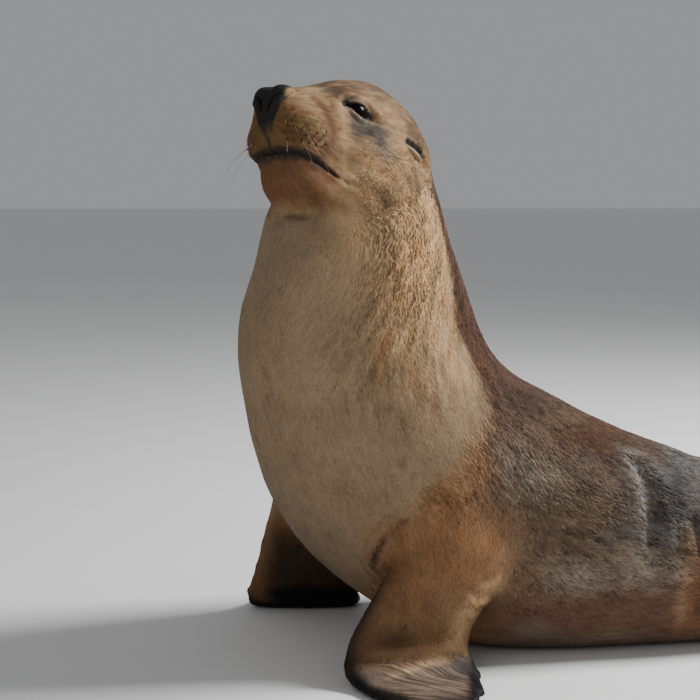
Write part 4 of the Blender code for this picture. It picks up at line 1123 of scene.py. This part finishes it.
def coatTree(material):
    c = coatPlan
    tree, given = nodeTree("coat", (
        ("Tuft", "Object", None), ("Region", "Float", 0.0), ("Density", "Float", c["density"]),
        ("Length", "Float", c["length"]), ("Width", "Float", c["width"]), ("Lift", "Float", c["lift"]),
        ("Patch", "Float", c["patch"]), ("Seed", "Int", c["seed"])))
    here = addNode(tree, "FunctionNodeCompare", {0: attribute(tree, "region"), 1: given["Region"],
                                                 "Epsilon": 0.5}, data_type="FLOAT", operation="EQUAL")
    density = times(tree, attribute(tree, "furDensity"), given["Density"])
    roots = addNode(tree, "GeometryNodeDistributePointsOnFaces",
                    {"Mesh": given["Geometry"], "Selection": here.outputs[0], "Density": density,
                     "Seed": given["Seed"]}, distribute_method="RANDOM")
    stray = addNode(tree, "FunctionNodeRandomValue",
                    {0: (-c["stray"],) * 3, 1: (c["stray"],) * 3, "Seed": 3},
                    data_type="FLOAT_VECTOR").outputs[0]
    way = vectorCalc(tree, "ADD", attribute(tree, "lay", "FLOAT_VECTOR"), stray)
    turn = addNode(tree, "FunctionNodeAxesToRotation", {"Primary Axis": roots.outputs["Normal"],
                                                        "Secondary Axis": way},
                   primary_axis="Z", secondary_axis="X").outputs[0]
    size = times(tree, attribute(tree, "furLength"), anyNumber(tree, *c["sizes"], 5))
    long = times(tree, size, given["Length"])
    wide = times(tree, size, times(tree, given["Width"], anyNumber(tree, *c["widths"], 6)))
    high = times(tree, times(tree, long, given["Lift"]), attribute(tree, "furLift"))
    scale = addNode(tree, "ShaderNodeCombineXYZ", {0: long, 1: wide, 2: high}).outputs[0]
    tuft = addNode(tree, "GeometryNodeObjectInfo", {"Object": given["Tuft"]}).outputs["Geometry"]
    clumps = addNode(tree, "GeometryNodeInstanceOnPoints",
                     {"Points": roots.outputs["Points"], "Instance": tuft, "Rotation": turn,
                      "Scale": scale}).outputs[0]
    shaded = addNode(tree, "GeometryNodeStoreNamedAttribute",
                     {"Geometry": clumps, "Name": "shade", "Value": anyNumber(tree, -1.0, 1.0, 9)},
                     data_type="FLOAT", domain="INSTANCE").outputs[0]
    real = addNode(tree, "GeometryNodeRealizeInstances", {"Geometry": shaded}).outputs[0]
    spread = vectorCalc(tree, "SCALE", attribute(tree, "patch", "FLOAT_VECTOR"), scale=given["Patch"])
    place = vectorCalc(tree, "ADD", attribute(tree, "OFBake", "FLOAT_VECTOR"), spread)
    mapped = addNode(tree, "GeometryNodeStoreNamedAttribute", {"Geometry": real, "Name": "OFBake",
                                                               "Value": place},
                     data_type="FLOAT2", domain="CORNER").outputs[0]
    done = addNode(tree, "GeometryNodeSetMaterial", {"Geometry": mapped, "Material": material}).outputs[0]
    addNode(tree, "NodeGroupOutput", {"Geometry": done})
    return tree


def material(name, rough=0.6, **sockets):
    made = bpy.data.materials.new(name)
    made.use_nodes = True
    shader = made.node_tree.nodes["Principled BSDF"]
    shader.inputs["Roughness"].default_value = rough
    for label, value in sockets.items():
        shader.inputs[label].default_value = value
    return made, made.node_tree, shader


def readAttribute(tree, name, output="Fac"):
    return addNode(tree, "ShaderNodeAttribute", attribute_name=name).outputs[output]


def noiseAt(tree, place, scale, detail=3.0, roughness=0.55):
    return addNode(tree, "ShaderNodeTexNoise", {"Vector": place, "Scale": scale, "Detail": detail,
                                                "Roughness": roughness}).outputs["Fac"]


def objectPlace(tree):
    return addNode(tree, "ShaderNodeTexCoord").outputs["Object"]


def colourRamp(tree, factor, *stops):
    node = addNode(tree, "ShaderNodeValToRGB", {"Fac": factor})
    elements = node.color_ramp.elements
    for k, (position, colour) in enumerate(stops):
        stop = elements[k] if k < 2 else elements.new(position)
        stop.position, stop.color = position, (*colour, 1)
    return node.outputs["Color"]


def raised(tree, shader, height, strength, distance):
    node = addNode(tree, "ShaderNodeBump", {"Strength": strength, "Distance": distance, "Height": height})
    tree.links.new(node.outputs[0], shader.inputs["Normal"])


def spanned(tree, value, low, high, toLow, toHigh):
    return addNode(tree, "ShaderNodeMapRange", {0: value, 1: low, 2: high, 3: toLow, 4: toHigh}).outputs[0]


hairPlan = {
    "specks": (420.0, 2.0, 0.13),  # how fine, detail, and how much it lightens and darkens
    "clouds": (14.0, 4.0, 0.12),
    # times a metre along and across the coat, detail and roughness, then which noise makes how much
    "hairs": ((95.0, 300.0, 2.0, 0.55), (0.30, 0.70, -0.13, 0.13)),
    "clumps": ((48.0, 105.0, 4.0, 0.6), (0.30, 0.70, -0.40, 0.40)),
    "locks": ((18.0, 66.0, 3.0, 0.55), (0.32, 0.68, -0.42, 0.36)),
    "ruddy": ((11.0, 34.0, 3.0, 0.55), (0.50, 0.68, 0.0, 0.8)),
    "handLines": ((15.0, 260.0, 4.0, 0.6), (0.38, 0.66, -0.62, 0.9)),
    "tuftShade": (0.10, 0.34),  # from one clump to the next, on an even and on a mottled coat
    "tuftLight": (-0.12, 0.14),  # from root to tip
    "waveScale": 22.0,  # waves that bend all these
    "waveReach": 0.016,
    "ruddyTint": (0.84, 0.60, 0.42),
    "darkest": 0.25,
    "specular": 0.10,
    "dryRough": 0.78,
    "wetRough": 0.60,
    "bareSmoother": 0.22,
    "relief": (0.5, 0.0012),  # strength and depth, of these two
    "fur": (520.0, 2.0, 0.7),
    "hide": (210.0, 4.0, 0.6),
}


def drawnOut(tree, flowing, name):  # noise that follows the lie of the coat, and what it makes
    (lengthwise, across, detail, roughness), span = hairPlan[name]
    stretched = vectorCalc(tree, "MULTIPLY", flowing, (lengthwise, across, 1.0))
    found = noiseAt(tree, stretched, 1.0, detail, roughness)
    return found, spanned(tree, found, *span)


def dappled(tree, place, name):
    scale, detail, reach = hairPlan[name]
    return spanned(tree, noiseAt(tree, place, scale, detail), 0.3, 0.7, -reach, reach)


def coatMaterial(name, onTufts):
    h = hairPlan
    made, tree, shader = material(name, **{"Specular IOR Level": h["specular"]})
    place, mottled, clumpy = objectPlace(tree), readAttribute(tree, "mottle"), readAttribute(tree, "clump")
    flowing, ground = readAttribute(tree, "flow", "Vector"), readAttribute(tree, "tone", "Color")
    waves = addNode(tree, "ShaderNodeTexNoise", {"Vector": place, "Scale": h["waveScale"], "Detail": 1.0})
    wavy = vectorCalc(tree, "SCALE", waves.outputs["Color"], scale=h["waveReach"])
    wavy = vectorCalc(tree, "ADD", flowing, wavy)
    hairs, locks, clumps, ruddy = (drawnOut(tree, wavy, k)[1] for k in ("hairs", "locks", "clumps", "ruddy"))
    light = plus(tree, plus(tree, dappled(tree, place, "specks"), hairs), times(tree, clumpy, locks))
    light = plus(tree, plus(tree, light, times(tree, clumps, mottled)),
                 plus(tree, dappled(tree, place, "clouds"), 1.0))
    if onTufts:
        shade = times(tree, readAttribute(tree, "shade"), spanned(tree, mottled, 0, 1, *h["tuftShade"]))
        tipLight = spanned(tree, readAttribute(tree, "tipness"), 0.0, 1.0, *h["tuftLight"])
        light = plus(tree, light, plus(tree, shade, tipLight))
    light = calc(tree, "MAXIMUM", light, h["darkest"])
    tinted = vectorCalc(tree, "MULTIPLY", ground, h["ruddyTint"])
    mixed = addNode(tree, "ShaderNodeMix", {0: times(tree, clumpy, ruddy), 6: ground, 7: tinted},
                    data_type="RGBA").outputs[2]
    colour = vectorCalc(tree, "SCALE", mixed, scale=light)
    rough = spanned(tree, readAttribute(tree, "wet"), 0, 1, h["dryRough"], h["wetRough"])
    if not onTufts:  # the bare skin shows here, wrinkled on the flippers
        bare, handTop = readAttribute(tree, "bare"), readAttribute(tree, "handTop")
        lines, wrinkles = drawnOut(tree, flowing, "handLines")
        wrinkled = times(tree, handTop, wrinkles)
        colour = vectorCalc(tree, "SCALE", colour, scale=plus(tree, wrinkled, 1.0))
        rough = calc(tree, "SUBTRACT", rough, times(tree, bare, h["bareSmoother"]))
        fur, hide = noiseAt(tree, place, *h["fur"]), noiseAt(tree, place, *h["hide"])
        relief = addNode(tree, "ShaderNodeMix", {0: bare, 2: fur, 3: hide}, data_type="FLOAT").outputs[0]
        raised(tree, shader, plus(tree, relief, times(tree, handTop, lines)), *h["relief"])
    tree.links.new(colour, shader.inputs["Base Color"])
    tree.links.new(rough, shader.inputs["Roughness"])
    return made


skinLook = coatMaterial("skinLook", False)
coatLook = coatMaterial("coatLook", True)

skin = newObject("skin", skinMesh)
skinMesh.materials.clear()
skinMesh.materials.append(skinLook)

tuft = bpy.data.objects.new("tuft", tuftMesh())
growth = coatTree(coatLook)
coats = []
for number, name in enumerate(coatPlan["pieces"]):
    coat = grown(name, skinMesh, growth, {"Tuft": tuft, "Region": float(number),
                                            "Seed": coatPlan["seed"] + number})
    for spare in ("region", "furLength", "furDensity", "furLift", "lay", "patch"):
        if spare in coat.data.attributes:
            coat.data.attributes.remove(coat.data.attributes[spare])
    coats.append(coat)
    print(name, len(coat.data.polygons), "triangles", [l.name for l in coat.data.uv_layers])
bpy.data.objects.remove(tuft)


def eyeMaterial():
    e = eyePlan
    made, tree, shader = material("eyeLook", e["rough"],
                                  **{"Specular IOR Level": e["specular"], "IOR": e["ior"]})
    aim = readAttribute(tree, "aim")  # 1 where the ball looks
    place = objectPlace(tree)
    rim = plus(tree, aim, spanned(tree, noiseAt(tree, place, 380.0, 2.0), 0.3, 0.7, -0.012, 0.012))
    ball = colourRamp(tree, rim, (0.30, e["white"]), (0.52, e["iris"]), (0.86, e["pupil"]))
    tree.links.new(ball, shader.inputs["Base Color"])
    return made


def ballMesh(name, rows, columns):  # a sphere round zero, one metre in radius, with its poles on Z
    rings = [(math.sin(down) * math.cos(turn), math.sin(down) * math.sin(turn), math.cos(down))
             for down in np.pi * np.arange(1, rows) / rows
             for turn in 2 * np.pi * np.arange(columns) / columns]
    faces, lowest = [], 1 + (rows - 2) * columns
    for left in range(columns):
        right = (left + 1) % columns
        faces.append((0, 1 + left, 1 + right))
        for ring in range(1, lowest, columns):
            below = ring + columns
            faces.append((ring + left, below + left, below + right, ring + right))
        faces.append((lowest + left, len(rings) + 1, lowest + right))
    mesh = bpy.data.meshes.new(name)
    mesh.from_pydata([(0.0, 0.0, 1.0), *rings, (0.0, 0.0, -1.0)], [], faces)
    return mesh


def eyeBall(name, side, look):
    e = eyePlan
    mesh = ballMesh(name, e["rows"], e["columns"])
    ways = pointsOf(mesh)
    aim = ways[:, 2]
    reach = e["radius"] * (0.985 + 0.055 * ramp(0.72, 1.0, aim))  # the cornea stands a little proud
    axes = np.array([e["slit"], e["above"], e["gaze"]])
    axes /= np.linalg.norm(axes, axis=1)[:, None]
    places = np.array(e["middle"]) + (ways * reach[:, None]) @ axes
    setPoints(mesh, posed(fromHead(places * (1, side, 1))))
    stored(mesh, "aim", "FLOAT", np.clip(aim, 0, 1))
    mesh.materials.append(look)
    if side < 0:
        mesh.flip_normals()
    return newObject(name, smoothShaded(mesh))


eyeLook = eyeMaterial()
eyes = {side: eyeBall("eye" + word, side, eyeLook) for side, word in ((-1, "Left"), (1, "Right"))}
print("eyes set")


earPlan = {
    "base": (0.001, 0.0800, -0.0150),  # forward, out, up from between the ears
    "tip": (-0.027, 0.0965, -0.0340),
    "opening": (-0.42, -0.15, 0.88),
    "radius": 0.0078,
    "wall": 0.0013,
    "slot": 62,  # half the opening, degrees
    "flat": (0.62, 0.78),  # flattened in front and behind
    "steps": 18,
    "turns": 22,
}


def earMesh(name, side):  # a leaf rolled round its length, with an inner and an outer wall
    e = earPlan
    base, tip = np.array(e["base"]), np.array(e["tip"])
    axis = (tip - base) / np.linalg.norm(tip - base)
    front = np.array(e["opening"]) - axis * (np.array(e["opening"]) @ axis)
    front /= np.linalg.norm(front)
    across = np.cross(axis, front)
    steps, turns = e["steps"], e["turns"]
    rows, tonesHere = [], []
    for wall in (0.0, e["wall"]):
        for i in range(steps):
            t = i / (steps - 1)
            radius = e["radius"] * (1 - t ** 2.4) ** 0.6 * (0.72 + 0.55 * t) + 0.0006 - wall
            slot = math.radians(e["slot"] * (0.35 + 0.65 * math.sin(math.pi * min(1, t * 1.1))))
            middle = base + (tip - base) * t + front * 0.0012 * math.sin(math.pi * t)
            for j in range(turns):
                angle = slot + (2 * math.pi - 2 * slot) * j / (turns - 1)
                flat = e["flat"][0] if math.cos(angle) > 0 else e["flat"][1]
                rows.append(middle + max(radius, 0.0003) * (front * math.cos(angle) * flat
                                                            + across * math.sin(angle)))
                rim = min(1, 2.2 * abs(j / (turns - 1) - 0.5)) ** 3
                outer = np.array(tones["cheek"]) * (1 - rim) + np.array(tones["lidEdge"]) * rim
                # the inner wall is painted dark as shade inside the rolled ear
                tonesHere.append(tones["lid"] if wall else outer)
    bm = bmesh.new()
    verts = [bm.verts.new(p) for p in posed(fromHead(np.array(rows) * (1, side, 1)))]

    def at(wall, i, j):
        return verts[(wall * steps + i) * turns + j]

    for i in range(steps - 1):
        for j in range(turns - 1):
            bm.faces.new((at(0, i, j), at(0, i + 1, j), at(0, i + 1, j + 1), at(0, i, j + 1)))
            bm.faces.new((at(1, i, j), at(1, i, j + 1), at(1, i + 1, j + 1), at(1, i + 1, j)))
        for j in (0, turns - 1):
            quad = (at(0, i, j), at(1, i, j), at(1, i + 1, j), at(0, i + 1, j))
            bm.faces.new(quad if j == 0 else quad[::-1])
    for i in (0, steps - 1):
        for j in range(turns - 1):
            quad = (at(0, i, j), at(0, i, j + 1), at(1, i, j + 1), at(1, i, j))
            bm.faces.new(quad if i == 0 else quad[::-1])
    bmesh.ops.recalc_face_normals(bm, faces=bm.faces)
    mesh = newMesh(bm, name)
    stored(mesh, "tone", "FLOAT_COLOR", np.hstack([np.array(tonesHere), np.ones((len(tonesHere), 1))]))
    return smoothShaded(mesh)


def earMaterial():
    made, tree, shader = material("earLook", 0.7, **{"Specular IOR Level": 0.2})
    place = objectPlace(tree)
    hair = noiseAt(tree, place, 900.0, 2.0)
    light = spanned(tree, hair, 0.3, 0.7, 0.72, 1.28)
    tree.links.new(vectorCalc(tree, "SCALE", readAttribute(tree, "tone", "Color"), scale=light),
                   shader.inputs["Base Color"])
    raised(tree, shader, hair, 0.5, 0.0006)
    return made


earLook = earMaterial()
ears = {}
for side, word in ((-1, "Left"), (1, "Right")):
    ears[side] = newObject("ear" + word, earMesh("ear" + word, side))
    ears[side].data.materials.append(earLook)
print("ears rolled")


whiskerPlan = {
    "length": 0.078,
    "thick": 0.00034,
    "root": 0.0012,  # thicker there, as it leaves the skin
    "droop": 0.30,
    "steps": 9,
    "byColumn": (0.30, 0.40, 0.52, 0.70, 0.85, 1.00, 1.05),  # relative length from the nose back
    "byRow": (0.12, 0.16, 0.40, 0.80, 1.1, 1.25),  # and from the top down
    "worn": (0.85, 0.85, 0.80, 0.70, 0.50, 0.35),  # share of each row that is only a stub
    "stub": 0.14,
    "lean": (0.10, 0.55, -0.80),  # forward, out, up
    "leanBack": 0.16,  # more at the rearmost column
    "leanUp": 0.06,  # more with each row down
    "alongLean": 0.75,
    "alongNormal": 0.55,
    "scatter": 0.08,
    "seed": 21,
    "tone": (0.40, 0.33, 0.24),
    "rootTone": (0.035, 0.022, 0.015),
    "rough": 0.35,
    "specular": 0.4,
}


def whiskerTree(look):
    w = whiskerPlan
    tree, given = nodeTree("whiskers", (
        ("Length", "Float", w["length"]), ("Thickness", "Float", w["thick"]), ("Root", "Float", w["root"]),
        ("Droop", "Float", w["droop"]), ("Steps", "Int", w["steps"]), ("Seed", "Int", 4)))
    drop = times(tree, given["Droop"], -1.0)
    bow = addNode(tree, "ShaderNodeCombineXYZ", {0: 0.5, 1: 0.0, 2: 0.03}).outputs[0]
    end = addNode(tree, "ShaderNodeCombineXYZ", {0: 1.0, 1: 0.0, 2: drop}).outputs[0]
    line = addNode(tree, "GeometryNodeCurveQuadraticBezier",
                   {"Resolution": given["Steps"], "Start": (0.0, 0.0, 0.0), "Middle": bow,
                    "End": end}).outputs[0]
    points = addNode(tree, "GeometryNodeMeshToPoints", {"Mesh": given["Geometry"]}).outputs[0]
    turn = addNode(tree, "FunctionNodeAxesToRotation",
                   {"Primary Axis": attribute(tree, "way", "FLOAT_VECTOR"),
                    "Secondary Axis": (0.0, 0.0, 1.0)}, primary_axis="X", secondary_axis="Z").outputs[0]
    size = times(tree, times(tree, given["Length"], attribute(tree, "reach")),
                anyNumber(tree, 0.8, 1.2, given["Seed"]))
    lines = addNode(tree, "GeometryNodeInstanceOnPoints",
                    {"Points": points, "Instance": line, "Rotation": turn, "Scale": size}).outputs[0]
    real = addNode(tree, "GeometryNodeRealizeInstances", {"Geometry": lines}).outputs[0]
    far = addNode(tree, "GeometryNodeSplineParameter").outputs["Factor"]
    slim = times(tree, given["Thickness"], spanned(tree, far, 0.0, 1.0, 1.0, 0.25))
    stub = times(tree, given["Root"], spanned(tree, far, 0.0, 0.13, 1.0, 0.0))
    thick = plus(tree, slim, calc(tree, "MAXIMUM", stub, 0.0))
    marked = addNode(tree, "GeometryNodeStoreNamedAttribute",
                     {"Geometry": real, "Name": "tipness", "Value": far},
                     data_type="FLOAT", domain="POINT").outputs[0]
    circle = addNode(tree, "GeometryNodeCurvePrimitiveCircle", {"Resolution": 5, "Radius": 1.0}).outputs[0]
    tubes = addNode(tree, "GeometryNodeCurveToMesh",
                    {"Curve": marked, "Profile Curve": circle, "Scale": thick, "Fill Caps": True})
    soft = addNode(tree, "GeometryNodeSetShadeSmooth", {"Geometry": tubes.outputs[0]}).outputs[0]
    done = addNode(tree, "GeometryNodeSetMaterial", {"Geometry": soft, "Material": look}).outputs[0]
    addNode(tree, "NodeGroupOutput", {"Geometry": done})
    return tree


def whiskerMaterial():
    w = whiskerPlan
    made, tree, shader = material("whiskerLook", w["rough"], **{"Specular IOR Level": w["specular"]})
    place = objectPlace(tree)
    hair = colourRamp(tree, readAttribute(tree, "tipness"), (0.06, w["rootTone"]), (0.16, w["tone"]))
    light = spanned(tree, noiseAt(tree, place, 60.0, 1.0), 0.3, 0.7, 0.6, 1.2)
    tree.links.new(vectorCalc(tree, "SCALE", hair, scale=light), shader.inputs["Base Color"])
    return made


def whiskerRoots():  # points on the pads with the way and relative length of each whisker
    w, random = whiskerPlan, np.random.default_rng(whiskerPlan["seed"])
    forward, out, up = w["lean"]
    places, ways, reaches = [], [], []
    for place, normal, side, row, column in spots:
        lean = np.array((forward - w["leanBack"] * column / (whiskerRows["columns"] - 1), side * out,
                         up + w["leanUp"] * row))
        aim = posed(fromHead([lean * 0.01 + (0.17, 0, 0)])) - posed(fromHead([(0.17, 0, 0)]))
        aim = aim[0] / np.linalg.norm(aim)
        way = w["alongLean"] * aim + w["alongNormal"] * normal + random.normal(0, w["scatter"], 3)
        places.append(place - 0.0012 * normal)
        ways.append(way / np.linalg.norm(way))
        stub = w["stub"] if random.random() < w["worn"][row] else 1.0
        reaches.append(w["byColumn"][column] * w["byRow"][row] * stub)
    mesh = bpy.data.meshes.new("whiskerRoots")
    mesh.from_pydata([tuple(p) for p in places], [], [])
    stored(mesh, "way", "FLOAT_VECTOR", np.array(ways))
    stored(mesh, "reach", "FLOAT", np.array(reaches))
    return mesh


whiskers = grown("whiskers", whiskerRoots(), whiskerTree(whiskerMaterial()), {"Seed": 4})
print("whiskers:", len(whiskers.data.polygons), "faces")


clawPlan = {"dark": (0.020, 0.015, 0.012), "pale": (0.105, 0.078, 0.055), "rough": 0.38, "specular": 0.45}


def clawMaterial():
    c = clawPlan
    made, tree, shader = material("clawLook", c["rough"], **{"Specular IOR Level": c["specular"]})
    place = objectPlace(tree)
    horn = colourRamp(tree, noiseAt(tree, place, 160.0, 3.0), (0.35, c["dark"]), (0.68, c["pale"]))
    tree.links.new(horn, shader.inputs["Base Color"])
    raised(tree, shader, noiseAt(tree, place, 500.0, 2.0), 0.35, 0.0004)
    return made


clawLook = clawMaterial()
for name, node in nodes.items():
    if name.startswith("hind_claw"):
        node.data.materials.clear()
        node.data.materials.append(clawLook)


# what each piece rides on and stands for
for piece in coats + [skin, whiskers]:
    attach(piece, "root")
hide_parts(*skinPlan["flesh"])
for side, word in ((-1, "left"), (1, "right")):
    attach(eyes[side], "root")
    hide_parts("eye_" + word)
    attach(ears[side], "root")
    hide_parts("ear_" + word)


stagePlan = {
    "floorSize": 300.0,
    "floorTone": (0.78, 0.78, 0.775, 1),
    "sky": (0.80, 0.81, 0.83, 1),
    "skyStrength": 0.40,
    "keyPlace": (2.6, 0.2, 2.9),
    "keyPower": 300.0,
    "keySize": 1.1,
    "fillPlace": (-2.6, -2.6, 2.2),
    "fillPower": 14.0,
    "fillSize": 2.6,
    "aim": (0.0, 0.0, 0.42),
}


def floorMaterial():
    made, tree, shader = material("floorLook", 0.75)
    place = objectPlace(tree)
    light = spanned(tree, noiseAt(tree, place, 3.0, 3.0), 0.3, 0.7, 0.98, 1.02)
    plain = addNode(tree, "ShaderNodeCombineXYZ", {k: stagePlan["floorTone"][k] for k in range(3)}).outputs[0]
    tree.links.new(vectorCalc(tree, "SCALE", plain, scale=light), shader.inputs["Base Color"])
    return made


def addFloor():
    bm = bmesh.new()
    bmesh.ops.create_grid(bm, x_segments=8, y_segments=8, size=stagePlan["floorSize"])
    mesh = newMesh(bm, "floor")
    mesh.materials.append(floorMaterial())
    newObject("floor", mesh)


def addLamp(name, place, power, size):
    lamp = bpy.data.lights.new(name, "AREA")
    lamp.energy, lamp.size = power, size
    thing = newObject(name, lamp)
    thing.location = place
    thing.rotation_euler = (Vector(stagePlan["aim"]) - Vector(place)).to_track_quat("-Z", "Y").to_euler()


addFloor()
addLamp("key", stagePlan["keyPlace"], stagePlan["keyPower"], stagePlan["keySize"])
addLamp("fill", stagePlan["fillPlace"], stagePlan["fillPower"], stagePlan["fillSize"])
world = bpy.data.worlds.new("sky")
world.use_nodes = True
world.node_tree.nodes["Background"].inputs["Color"].default_value = stagePlan["sky"]
world.node_tree.nodes["Background"].inputs["Strength"].default_value = stagePlan["skyStrength"]
bpy.context.scene.world = world

cameraPlan = {
    "place": (-0.82758, -2.22943, 0.71),
    "down": 5.85,  # degrees
    "right": 8.0,
    "lens": 72.7,
}
lens = bpy.data.cameras.new("camera")
lens.lens, lens.sensor_width = cameraPlan["lens"], 36.0
camera = newObject("camera", lens)
camera.location = cameraPlan["place"]
camera.rotation_euler = (math.radians(90 - cameraPlan["down"]), 0, math.radians(-cameraPlan["right"]))
bpy.context.scene.camera = camera
print("stage set")
